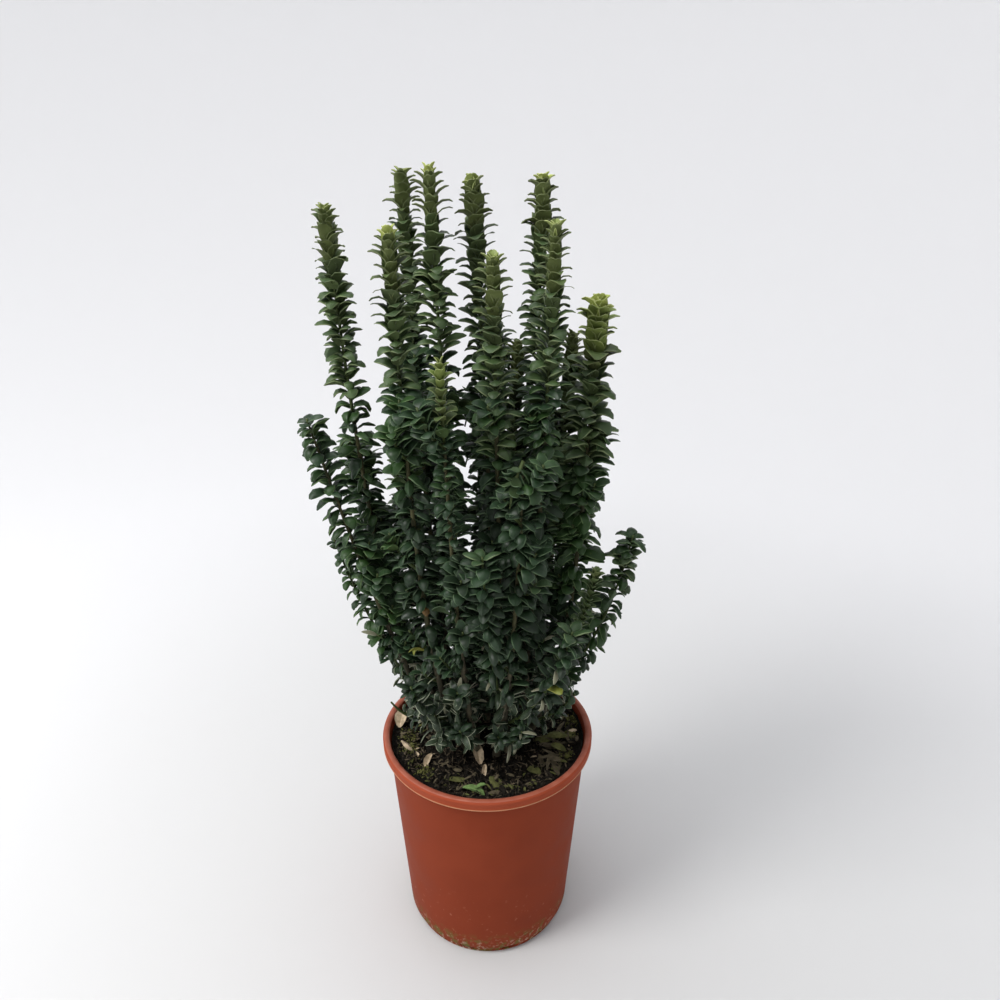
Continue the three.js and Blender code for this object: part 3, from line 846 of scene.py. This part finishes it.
# Every leaf of one shoot, as arrays: where it leaves the stem, which way it faces, and its form. Pairs
# follow one another down from the tip, each pair square to the last.
def leavesOn(shoot, index):
    uneven, opens = leaf["uneven"], leaf["opens"]
    bare = leaf["lowest"] - clump["ground"] if shoot["kind"] == "tall" else leaf["bareFoot"]
    below = [leaf["first"]]
    while below[-1] < shoot["length"] - leaf["sunk"] - bare:
        step = np.interp(below[-1] + shoot["head"], leaf["below"], leaf["spacing"])
        below.append(below[-1] + step * (1 + uneven["spacing"] * (chance(index * 7.3 + len(below)) - 0.5)))
    pair = np.repeat(np.arange(len(below) - 1), 2)
    half = np.tile([0, 1], len(below) - 1)
    below = np.repeat(below[:-1], 2)
    head, freshTop = shoot["head"], shoot["freshTop"]
    ageing = ramp(below, leaf["freshBelow"], leaf["freshBelow"] + freshTop) if freshTop else 1
    aged = below + head * ageing
    tables = ("length", "width", "rise", "curl", "fold", "bends")
    grown = {key: np.interp(aged, leaf["below"], leaf[key]) for key in tables}
    age = ramp(aged, 0, leaf["oldAt"])
    seed = index * 211 + pair * 2 + half
    jitter = [chance(seed * 1.7 + n) - 0.5 for n in range(6)]
    share = 1 - (below + leaf["sunk"]) / shoot["length"]
    along, right, back = frameOn(shoot, share)
    drift = uneven["start"] * (chance(index) - 0.5) + uneven["drift"] * (chance(index + 0.7) - 0.5) * below
    stray = blend(*uneven["turn"], age) * (chance(seed + 0.5) - 0.5)
    outward = facing(right, back, (drift + (pair + 2 * half) * np.pi / 2 + stray)[:, None])
    base = pointOn(shoot, share) + outward * stemRadius(shoot, share)[:, None] * leaf["seat"]
    twisted = ramp(base[:, 2], *leaf["twisted"])
    dry = chance(seed * 2.3 + 0.4) < leaf["dryShare"] * twisted
    opening = (1 - ramp(below, 0, opens["over"])) * (head > opens["fromHead"] and not freshTop)
    kindSize = leaf["kinds"].get(shoot["name"], leaf["kinds"][shoot["kind"]])
    length = grown["length"] * kindSize * (1 + uneven["length"] * jitter[0])
    width = grown["width"] * (1 + uneven["width"] * jitter[1])
    width = width * blend(leaf["broad"].get(shoot["name"], 1), 1, ramp(aged, 0, leaf["broadTo"]))
    rise = grown["rise"] + blend(*uneven["rise"], age) * (1 + twisted) * jitter[2]
    curl = grown["curl"] * (1 + uneven["curl"] * (1 + twisted) * jitter[3])
    return {
        "shoot": np.full(len(below), index),
        "pair": pair,
        "below": aged,
        "fromTip": below,
        "base": base,
        "along": along,
        "outward": outward,
        "sideways": np.cross(along, outward),
        "length": length * (1 - opens["length"] * opening) * blend(1, leaf["shortest"], twisted),
        "width": width * blend(1, leaf["narrowest"], twisted) * np.where(dry, leaf["dryWidth"], 1),
        "rise": np.radians(rise - opens["rise"] * opening),
        "curl": np.radians(curl * (1 - opens["curl"] * opening)),
        "dry": dry,
        "bends": grown["bends"],
        "youth": 1 - ramp(aged, 0, leaf["youthTo"]),
        "fold": np.radians(grown["fold"] + blend(*uneven["fold"], twisted) * jitter[4]),
        "roll": np.radians(blend(*uneven["roll"], age) * (1 + twisted)) * jitter[5],
    }


# The points of every blade, leaves x rings x 8: across the middle line on an arc as long as the ring's
# half width that turns by the fold, so sin(fold a) / fold across and (1 - cos(fold a)) / fold up, sunk
# along the midrib, and half the thickness to each side.
def bladePoints(leaves, size=1):
    length = leaves["length"] * size
    line, angle = midrib(leaves["rise"], leaves["curl"], leaves["bends"], length)
    outward, along, sideways = (leaves[key][:, None, :] for key in ("outward", "along", "sideways"))
    middle = leaves["base"][:, None, :] + outward * line[..., :1] + along * line[..., 1:]
    normal = along * np.cos(angle)[..., None] - outward * np.sin(angle)[..., None]
    rolled = ramp(bladeRows, 0, 0.5)[None, :, None]  # the first half of the blade takes up the roll
    roll = leaves["roll"][:, None, None] * rolled
    across = facing(sideways, normal, roll)
    upward = facing(normal, -sideways, roll)
    widths = blend(oldWidths, youngWidths, leaves["youth"][:, None])
    halfWidth = ((length * leaves["width"] / 2)[:, None] * widths)[..., None]
    flat = 0.02  # the least fold that the formula takes
    fold = np.where(np.abs(leaves["fold"]) < flat, flat, leaves["fold"])[:, None, None]
    aside = halfWidth * np.sin(fold * ringAcross) / fold
    lift = halfWidth * (1 - np.cos(fold * ringAcross)) / fold
    groove = np.where(inMiddle & (ringSide > 0), -leaf["groove"], 0) * (bladeRows > 0)[:, None]
    thick = leaf["thickness"] / 2 * ringSide * (1 + leaf["midrib"] * inMiddle * (ringSide < 0))
    offset = lift + groove + thick
    return (
        middle[:, :, None, :]
        + across[:, :, None, :] * aside[..., None]
        + upward[:, :, None, :] * offset[..., None]
    )


# Whether each leaf keeps to its shoot's own space, by its edges and middle line beyond the first two
# rings: no nearer to another shoot than to its own, give or take the slack, and clear of that shoot's
# stem and of the soil.
def keepsClear(leaves, points):
    probe = points[:, 2:, [0, 2, 4], :].reshape(len(points), -1, 3)
    reach, height = np.hypot(probe[..., 0], probe[..., 1]), probe[..., 2]
    inside = (height > soil["top"] + leaf["offSoil"]) & (reach < np.interp(height, *leaf["envelope"]))
    clear = inside.all(1)
    own = np.zeros(probe.shape[:2])
    family = {shoot["name"]: {shoot["name"], shoot["parent"]} for shoot in everyShoot}
    for index, shoot in enumerate(everyShoot):
        mine = leaves["shoot"] == index
        own[mine] = gapTo(shoot, probe[mine])
    names = np.array([shoot["name"] for shoot in everyShoot])[leaves["shoot"]]
    for shoot in shoots:
        gap = gapTo(shoot, probe)
        stranger = np.array([shoot["name"] not in family[name] for name in names])
        free = ((gap > own - leaf["slack"]) & (gap > leaf["offStem"])).all(1)
        clear &= free | ~stranger
    return clear


# All the leaves, each at the largest of its sizes that keeps clear, or left out.
def growLeaves():
    grown = [leavesOn(shoot, index) for index, shoot in enumerate(everyShoot)]
    leaves = {key: np.concatenate([part[key] for part in grown]) for key in grown[0]}
    size = np.zeros(len(leaves["shoot"]))
    for fit in leaf["fits"]:
        left = size == 0
        rest = {key: values[left] for key, values in leaves.items()}
        clear = keepsClear(rest, bladePoints(rest, fit))
        size[np.flatnonzero(left)[clear]] = fit
    kept = size > 0
    leaves = {key: values[kept] for key, values in leaves.items()}
    leaves["length"] = leaves["length"] * size[kept]
    print(f"{kept.sum()} leaves kept of {len(kept)}, {(size[kept] < 1).sum()} of them smaller")
    return leaves


leaves = growLeaves()

# The few leaves that are turning: the leaf nearest to each place takes the colour.
turningSpots = {"turning": [(-76, -43, 381), (-75, -47, 385.5), (69, -92, 370)], "brown": [(-59, -60, 439)]}
# Leaf colours, dealt out by age, by spray and by place: the upper face, the paler underside, and the edge,
# which is painted lighter as a highlight along the margin.
tones = {
    "tip": ((0.25, 0.305, 0.064), (0.29, 0.335, 0.085), (0.44, 0.475, 0.2)),
    "tipB": ((0.145, 0.183, 0.045), (0.172, 0.21, 0.061), (0.3, 0.335, 0.137)),
    "bright": ((0.14, 0.195, 0.046), (0.175, 0.22, 0.06), (0.26, 0.3, 0.12)),
    "young": ((0.062, 0.092, 0.029), (0.094, 0.117, 0.039), (0.14, 0.165, 0.072)),
    "upper": ((0.034, 0.057, 0.0225), (0.065, 0.088, 0.035), (0.106, 0.135, 0.065)),
    "upperB": ((0.039, 0.067, 0.0225), (0.073, 0.102, 0.038), (0.116, 0.151, 0.068)),
    "darkA": ((0.014, 0.033, 0.01), (0.036, 0.061, 0.021), (0.066, 0.106, 0.047)),
    "darkB": ((0.0112, 0.027, 0.0105), (0.03, 0.052, 0.02), (0.058, 0.097, 0.047)),
    "darkC": ((0.0185, 0.045, 0.011), (0.042, 0.07, 0.021), (0.08, 0.126, 0.05)),
    "darkD": ((0.0135, 0.031, 0.0125), (0.034, 0.056, 0.022), (0.067, 0.104, 0.054)),
    # painted shade: the darkest colours, for the leaves in the middle of the clump
    "paintedShadeA": ((0.0062, 0.0155, 0.0055), (0.016, 0.031, 0.0115), (0.034, 0.06, 0.028)),
    "paintedShadeB": ((0.0095, 0.019, 0.0085), (0.02, 0.035, 0.015), (0.045, 0.07, 0.037)),
    # the low leaves' pale edge colour is a strong painted highlight
    "low": ((0.021, 0.033, 0.0165), (0.07, 0.09, 0.05), (0.26, 0.285, 0.2)),
    "fresh": ((0.026, 0.05, 0.019), (0.042, 0.066, 0.026), (0.1, 0.135, 0.065)),
    "dry": ((0.13, 0.13, 0.085), (0.17, 0.16, 0.11), (0.26, 0.26, 0.19)),
    "turning": ((0.16, 0.18, 0.03), (0.16, 0.165, 0.03), (0.23, 0.23, 0.06)),
    "brown": ((0.085, 0.045, 0.009), (0.095, 0.055, 0.013), (0.14, 0.085, 0.03)),
}
# Where the colours change: places and distances in millimetres, and each spray's number from 0 to 1.
dealing = {
    "sprayPairs": 3,  # pairs that share a colour
    "inner": (82, 560),  # the middle of the clump, whose leaves take darker colours as painted shade: its reach to either side, and its top
    "right": (62, 430, 60),  # the right side, whose leaves take lighter colours as painted light: from here on, above, and in front of this
    "upper": 150,  # the upper leaves end here below the tip
    "upperShort": 80,  # or here on the low front shoot
    "wobble": 50,  # and this much higher or lower from shoot to shoot
    "young": 42,  # the young leaves end here
    "youngLong": 62,  # or here on three front and right shoots
    "youngWobble": 0.4,  # with this share of the wobble
    "tip": 9,  # the first leaves end here
    "olderHead": 20,  # a shoot whose first leaves are so much older takes no tip or upper colour
    "lowTop": 350,  # the height under which the low colour is found, on sprays from this number up
    "lowSpray": 0.55,
    "freshSpray": 0.96,  # the finer twigs with fresh tips
    "drySpray": 0.75,  # dry leaves take their colour below this number
    # distances from the tips of three shoots at which the colour changes, and at last ends
    "farRight": (15, 46),
    "lowFront": (8, 22, 56),
    "rightFront": (12, 70),
}


# Which colour each leaf takes. It is dark by its spray, and then each of the changes below takes the
# leaves of its own place, the later ones over the earlier.
def leafTones():
    number = {name: place for place, name in enumerate(tones)}
    bearer = leaves["shoot"]
    named = np.array([shoot["name"] for shoot in everyShoot])[bearer]
    kinds = np.array([shoot["kind"] for shoot in everyShoot])[bearer]
    heads = [0 if shoot["freshTop"] else shoot["head"] for shoot in everyShoot]
    older = np.array(heads)[bearer] >= dealing["olderHead"]
    spray = chance(bearer * 17 + leaves["pair"] // dealing["sprayPairs"] + 0.3)
    wobble = (chance(bearer * 3 + 0.9) - 0.5) * dealing["wobble"]
    below, fromTip, dry = leaves["below"], leaves["fromTip"], leaves["dry"]
    x, y, height = leaves["base"].T

    # the first of the named colours below the first limit, the next below the next, and so on
    def dealt(by, limits, names):
        return np.array([number[name] for name in names])[np.searchsorted(limits, by, side="right")]

    # the leaves of these shoots
    def on(*names):
        return np.isin(named, names)

    reach, top = dealing["inner"]
    inside = (np.abs(x) < reach) & (height < top)
    start, foot, front = dealing["right"]
    paintedLightRight = (x > start) & (height > foot) & (y < front)
    upperTo = np.where(on("low_front"), dealing["upperShort"], dealing["upper"]) + wobble
    long = on("far_right", "right_front", "left_front")
    youngTo = np.where(long, dealing["youngLong"], dealing["young"]) + wobble * dealing["youngWobble"]
    pale = on("left_front", "left_inner", "right_inner", "far_right")
    first = fromTip < dealing["tip"]
    atTip = first & ~older & ~on("centre_back", "right_back")
    freshTwig = (kinds == "twig") & (spray > dealing["freshSpray"])
    *farRight, farRightTo = dealing["farRight"]
    *lowFront, lowFrontTo = dealing["lowFront"]
    *rightFront, rightFrontTo = dealing["rightFront"]
    # where, and the colour there: one, or several dealt out by the spray or by the distance from the tip
    changes = (
        # painted shade: the middle of the clump takes the darkest colours
        (inside, dealt(spray, (0.4, 0.62, 0.8), ("paintedShadeA", "paintedShadeB", "darkB", "darkD"))),
        # painted light: the right side takes lighter colours
        (paintedLightRight, dealt(spray, (0.3, 0.76), ("darkA", "darkC", "upper"))),
        ((below < upperTo) & ~older, dealt(spray, (0.5,), ("upper", "upperB"))),
        (below < youngTo, number["young"]),
        (atTip, np.where(pale, number["tip"], number["tipB"])),
        (on("far_right") & (fromTip < farRightTo), dealt(fromTip, farRight, ("tip", "bright"))),
        (on("low_front") & (fromTip < lowFrontTo), dealt(fromTip, lowFront, ("tipB", "bright", "young"))),
        ((height < dealing["lowTop"]) & (spray > dealing["lowSpray"]), number["low"]),
        ((on("side_front", "side_front_right") | freshTwig) & first, number["fresh"]),
        (on("side_right_front") & (fromTip < rightFrontTo), dealt(fromTip, rightFront, ("young", "upperB"))),
        (dry & (spray < dealing["drySpray"]), number["dry"]),
    )
    tone = dealt(spray, (0.3, 0.5, 0.7), ("darkA", "darkB", "darkD", "darkC"))
    for where, change in changes:
        tone = np.where(where, change, tone)
    centre = bladePoints(leaves)[:, 3, 2]
    for name, spots in turningSpots.items():
        for spot in spots:
            tone[np.linalg.norm(centre - spot, axis=1).argmin()] = number[name]
    return tone


# A leaf's faces: quads round its rings, and three quads across the blade at each end. With them comes
# the finish of each: 0 on the upper face, 1 on the underside, 2 along the edge, whose lighter colour is a
# painted highlight.
def leafFaces(count):
    rings, around = len(bladeRows), len(ringAcross)
    ends = np.array([(7, 0, 1, 6), (1, 2, 3, 6), (3, 4, 5, 6)])
    last = ends[:, ::-1] + (rings - 1) * around
    template = np.concatenate([ringFaces(rings, around)[:, ::-1], ends, last])
    column = np.tile(np.arange(around), rings - 1)
    finish = np.select([np.isin(column, (1, 2)), np.isin(column, (5, 6))], [0, 1], 2)
    finish = np.concatenate([finish, np.full(len(ends) + len(last), 2)])
    start = (np.arange(count) * rings * around)[:, None, None]
    return (template + start).reshape(-1, 4), np.tile(finish, count)


leafLook = {"patch": 16, "relief": 0.15, "grain": 1.4, "reliefStrength": 0.4}
leafSurfaces = {
    "Upper": {"roughness": (0.42, 0.54), "specular": 0.28},
    "Under": {"roughness": (0.55, 0.66), "specular": 0.2},
    # the margin, whose lighter colour is a painted highlight
    "EdgeHighlight": {"roughness": (0.5, 0.6), "specular": 0.2},
}
leafMottle = 1.3  # the second colour of a leaf's finish, as a multiple of the first
leafSharp = 48  # edges that turn by more than this many degrees are sharp


# The leaves of one colour are one piece, which stands for the masses that bear them.
def makeLeaves():
    tone = leafTones()
    for number, (name, colours) in enumerate(tones.items()):
        mine = {key: values[tone == number] for key, values in leaves.items()}
        faces, finishOf = leafFaces(len(mine["shoot"]))
        finishes = []
        for colour, (part, surface) in zip(colours, leafSurfaces.items()):
            other = tuple(value * leafMottle for value in colour)
            look = dict(leafLook, colour=colour, other=other, **surface)
            finishes.append(makeFinish(f"leaf{name.capitalize()}{part}", look))
        nodes = sorted(shoots[i]["name"] + "_foliage" for i in np.unique(mine["shoot"]) if i < len(shoots))
        points = bladePoints(mine).reshape(-1, 3)
        addPiece(f"leaves_{name}", points, [faces], finishes, "foliage", nodes, finishOf, leafSharp)


makeLeaves()

# Fallen leaves on the soil: some that stand out, with place, direction, length, width share, rise, curl,
# fold and the height of the foot above the soil, and many small pieces dealt out at random. Folds are in
# radians, and the other angles in degrees.
litter = {
    "marked": {
        "dry": [
            (-15, -23, -72, 27, 0.62, -2, 44, 1.4, 8), (-2, -50, -95, 15, 0.5, -2, 50, 1.3, 5),
            (-103, 6, 82, 21, 0.84, 50, 50, 1.0, 5), (-98, -18, -35, 18, 0.5, 2, 50, -1.3, 4),
            (-62, -34, -115, 17, 0.6, 0, 50, 1.3, 6), (-84, -30, -40, 11, 0.5, 0, 20, 1.2, 3),
        ],
        "fresh": [(-25, -89, -14, 25, 0.42, 14, 60, 1.0, 6), (-12, -92, 24, 13, 0.4, 30, 60, 0.8, 6)],
        "fading": [
            (3, -70, -40, 27, 0.6, -4, 30, -0.3, 4), (78, -10, 4, 27, 0.5, 4, 34, -0.4, 7),
            (88, -34, 140, 20, 0.5, 6, 20, 0.4, 4), (96, 4, -80, 16, 0.5, 0, 20, 0.4, 4),
            (92, -12, 60, 24, 0.5, 12, 30, -0.5, 5), (70, -56, 30, 22, 0.5, 6, 20, -0.5, 4),
            (58, -66, -50, 20, 0.6, -4, 20, 0.3, 4), (-46, -70, 0, 26, 0.3, 0, 14, -0.4, 3),
            (18, -82, -14, 24, 0.36, 0, 10, -0.2, 3),
        ],
        "brown": [
            (58, -34, -62, 28, 0.42, -4, 24, -0.5, 5), (72, -44, -70, 22, 0.4, -4, 24, 0.4, 4),
            (80, -22, -20, 22, 0.36, 2, 18, -0.4, 5), (86, -50, 160, 20, 0.4, 4, 18, 0.4, 3),
            (2, -91, 4, 14, 0.4, 2, 14, 0.3, 2), (-34, -50, -160, 20, 0.4, 0, 14, 0.4, 3),
            (62, -26, -40, 30, 0.16, 8, 30, 0.4, 6), (70, -34, -100, 28, 0.14, 6, 20, 0.4, 7),
            (54, -46, 20, 30, 0.14, 8, 26, 0.4, 6), (82, 4, -60, 26, 0.16, 8, 30, 0.4, 6),
            (90, 14, -120, 22, 0.2, 6, 20, 0.4, 5), (66, -8, -30, 26, 0.16, 10, 40, 0.4, 7),
        ],
    },
    # the strewn pieces: direction, length, width share, rise, curl, fold and height
    "strewn": ((0, 360), (3, 12), (0.12, 0.5), (-24, 30), (0, 80), (-0.8, 0.8), (1, 3.5)),
    "pieces": {"brown": 240, "dark": 260, "fading": 60, "dry": 14},
    "within": 104,
    "inner": 0.3,  # with the power, how few lie near the middle
    "power": 0.4,
    "lean": 30,  # how far a strewn piece may roll to either side
    "bends": 1.2,
    "look": {"patch": 5, "relief": 0.3},
    "mottle": 0.6,
    "seed": 60,
    "colours": {
        "dry": (0.6, 0.48, 0.33),
        "fresh": (0.17, 0.27, 0.09),
        "fading": (0.12, 0.125, 0.043),
        "brown": (0.12, 0.1, 0.062),
        "dark": (0.016, 0.013, 0.009),
    },
}


# A colour's fallen leaves are blades that lie out from an upright line. One that would meet the wall
# points inwards.
def makeLitter():
    for number, (name, colour) in enumerate(litter["colours"].items()):
        marked = np.array(litter["marked"].get(name, []), float).reshape(-1, 9)
        count = litter["pieces"].get(name, 0)
        draw = np.random.default_rng(litter["seed"] + number)
        x, y, _ = overDisc(draw, count, litter["within"], litter["inner"], litter["power"])
        strewn = np.stack([x, y, *[draw.uniform(*limits, count) for limits in litter["strewn"]]], -1)
        x, y, way, length, width, rise, curl, fold, lift = np.concatenate([marked, strewn]).T
        way = np.radians(way)
        outside = np.hypot(x + length * np.cos(way), y + length * np.sin(way)) > litter["within"]
        way = np.where(outside, np.arctan2(-y, -x), way)
        flat = 0 * x
        lean = draw.uniform(-litter["lean"], litter["lean"], len(x)) * (np.arange(len(x)) >= len(marked))
        fallen = {
            "base": onSoil(x, y, lift),
            "along": np.stack([flat, flat, flat + 1], -1),
            "outward": np.stack([np.cos(way), np.sin(way), flat], -1),
            "sideways": np.stack([-np.sin(way), np.cos(way), flat], -1),
            "length": length, "width": width, "rise": np.radians(rise), "curl": np.radians(curl),
            "fold": fold, "roll": np.radians(lean), "bends": flat + litter["bends"], "youth": flat,
        }
        faces, _ = leafFaces(len(x))
        other = tuple(value * litter["mottle"] for value in colour)
        look = {**soilLook, **litter["look"], "colour": colour, "other": other}
        finish = makeFinish(f"litter_{name}", look)
        points = bladePoints(fallen).reshape(-1, 3)
        addPiece(f"litter_{name}", points, [faces], [finish], "soil", sharpFrom=leafSharp)


makeLitter()

# The stems: fissured bark low down, olive above it, and green near the tips.
stem = {
    "barkTop": 400,
    "oliveTop": 620,
    "barkStep": 3.0,  # how far apart the bark's rings stand, and how many points each has
    "barkAround": 16,
    "step": 8,
    "around": 8,
    "sideAround": 6,
    "sunk": 9,  # how far a tall shoot's stem goes on into the soil
    "seed": 40,
    "ridge": 0.1,  # height of the ridges, as a share of the stem's radius
    "ridgePitch": 6,
    "ridgeStretch": 0.12,  # below 1, they run on along the stem
    "ridgeFade": (480, 360),  # the heights over which they grow to their full height
    "ridgeLeast": 0.3,
    "node": 0.08,  # the swellings where leaf pairs stand or stood, as a share of the radius
    "nodePitch": 9.5,
    "flare": 0.12,  # at the ground, as a share of the radius
    "flareOver": 6,
}
barkLook = {
    "colour": (0.034, 0.031, 0.018), "other": (0.085, 0.075, 0.045), "patch": 6, "stretch": (1, 1, 0.3),
    "roughness": (0.7, 0.9), "relief": 0.7, "grain": 1.6, "reliefStrength": 0.8, "specular": 0.3,
}
oliveLook = dict(barkLook, colour=(0.035, 0.036, 0.013), other=(0.075, 0.069, 0.03), relief=0.3)
bareLook = dict(barkLook, colour=(0.12, 0.105, 0.075), other=(0.22, 0.2, 0.15), relief=0.2)
greenLook = dict(
    barkLook, colour=(0.04, 0.06, 0.015), other=(0.055, 0.075, 0.02), relief=0.2, roughness=(0.5, 0.6))


# A length of stem: rings carried along the shoot, with the taper x (1 + ridges + swellings + flare) as
# their radius. The ridges wander lengthwise, the swellings follow at an even pitch, and the flare dies
# away above the ground as e^(-height / flareOver).
def stemTube(shoot, index, low, high, step, around):
    low, high = max(low, shoot["root"][2]), min(high, shoot["tip"][2] - leaf["sunk"])
    share = shareAt(shoot, np.linspace(low, high, max(3, int((high - low) / step) + 1)))
    _, right, back = frameOn(shoot, share)
    ways = facing(right[:, None], back[:, None], onceRound(around)[:, None])
    centre = pointOn(shoot, share)[:, None]
    height = centre[..., 2]
    wander = ways * stem["ridgePitch"] + centre * np.array([0, 0, stem["ridgeStretch"]])
    ridges = lumps(wander, stem["ridgePitch"], stem["seed"] + index, 2)
    ridges = stem["ridge"] * ridges * np.maximum(ramp(height, *stem["ridgeFade"]), stem["ridgeLeast"])
    below = (1 - share)[:, None] * shoot["length"]
    swelling = stem["node"] * np.clip(np.cos(below * 2 * np.pi / stem["nodePitch"]) - 0.5, 0, 1)
    rooted = shoot["kind"] == "tall"
    flare = stem["flare"] * np.exp(-(height - clump["ground"]) / stem["flareOver"]) * rooted
    radius = stemRadius(shoot, share)[:, None] * (1 + ridges + swelling + flare)
    rings = centre + ways * radius[..., None]
    if rooted and low < clump["ground"] + 1:
        rings = np.concatenate([rings[:1] - np.array([0, 0, stem["sunk"]]), rings])
    return closedRings(rings)


# Short dead twigs low down among the leaves: thin bare sticks that leave the boughs at all angles.
bareTwigs = {
    "count": 150,
    "heights": (240, 380),
    "length": (9, 26),
    "lean": (-20, 60),
    "radius": 0.55,
    "taper": (1.3, 0.5),  # its foot's and tip's radius, as shares of that
    "rings": (0, 0.3, 0.6, 0.85, 1),
    "sides": 5,
    "bow": 0.1,
    "offSoil": 6,
    "past": 8,  # how far beyond the finer twigs' reach they may stand
    "seed": 4000,
}


# The foot and the tip of each stick: it points a random way round its bough and leans up or down from
# square to it. One that comes near the soil or past the reach is left out.
def planBareTwigs():
    tall = [shoot for shoot in shoots if shoot["kind"] == "tall"]
    found = []
    for number in range(bareTwigs["count"]):
        seed = bareTwigs["seed"] + number * 7
        parent = tall[number % len(tall)]
        share = shareAt(parent, blend(*bareTwigs["heights"], chance(seed)))
        along, right, back = frameOn(parent, share)
        lean = np.radians(blend(*bareTwigs["lean"], chance(seed + 2)))
        way = facing(facing(right, back, chance(seed + 1) * 2 * np.pi), along, lean)
        root = pointOn(parent, share)
        tip = root + way * blend(*bareTwigs["length"], chance(seed + 3))
        reach = np.hypot(tip[0], tip[1]) - bareTwigs["past"]
        if tip[2] > soil["top"] + bareTwigs["offSoil"] and reach < np.interp(tip[2], *twigs["envelope"]):
            found.append((root, tip))
    return np.array(found)


# Bare twigs as five-sided tapers with a slight bow, the bow's share of their length x sin(pi s), all
# worked out at once.
def bareTubes(ends):
    span = ends[:, 1] - ends[:, 0]
    along = unit(span)
    right = unit(np.cross(along, [0.3, 0.2, 1]))
    back = np.cross(along, right)[:, None]
    share = np.array(bareTwigs["rings"])[None, :, None]
    bow = bareTwigs["bow"] * np.sin(share * np.pi) * np.linalg.norm(span, axis=1)[:, None, None]
    middle = ends[:, :1] + span[:, None] * share + back * bow
    ways = facing(right[:, None], back, onceRound(bareTwigs["sides"])[:, None])
    radius = bareTwigs["radius"] * blend(*bareTwigs["taper"], share)
    return [closedRings(rings) for rings in middle[:, :, None] + ways[:, None] * radius[..., None]]


# A tall shoot is bark, then olive, then green up to its tip, and every other shoot is green.
def makeStems():
    bark, olive, green = [], [], []
    step, around = stem["step"], stem["around"]
    for index, shoot in enumerate(everyShoot):
        top = shoot["tip"][2]
        if shoot["kind"] == "tall":
            bark.append(stemTube(shoot, index, 0, stem["barkTop"], stem["barkStep"], stem["barkAround"]))
            olive.append(stemTube(shoot, index, stem["barkTop"], stem["oliveTop"], step, around))
            if top > stem["oliveTop"]:
                green.append(stemTube(shoot, index, stem["oliveTop"], top, step, around))
        else:
            green.append(stemTube(shoot, index, 0, top, step, stem["sideAround"]))
    bare = bareTubes(planBareTwigs())
    nodes = [name + "_stem" for name in clump["tall"]]
    for name, tubes, look, slotName, named in (
        ("bark", bark, barkLook, "stem", nodes), ("olive_stems", olive, oliveLook, "stem", ()),
        ("green_twigs", green, greenLook, "foliage", ()), ("bare_twigs", bare, bareLook, "stem", ()),
    ):
        points, quads, ends = joined(tubes)
        addPiece(name, points, [quads, ends], [makeFinish(name, look)], slotName, named)


makeStems()
print("shrub ready")
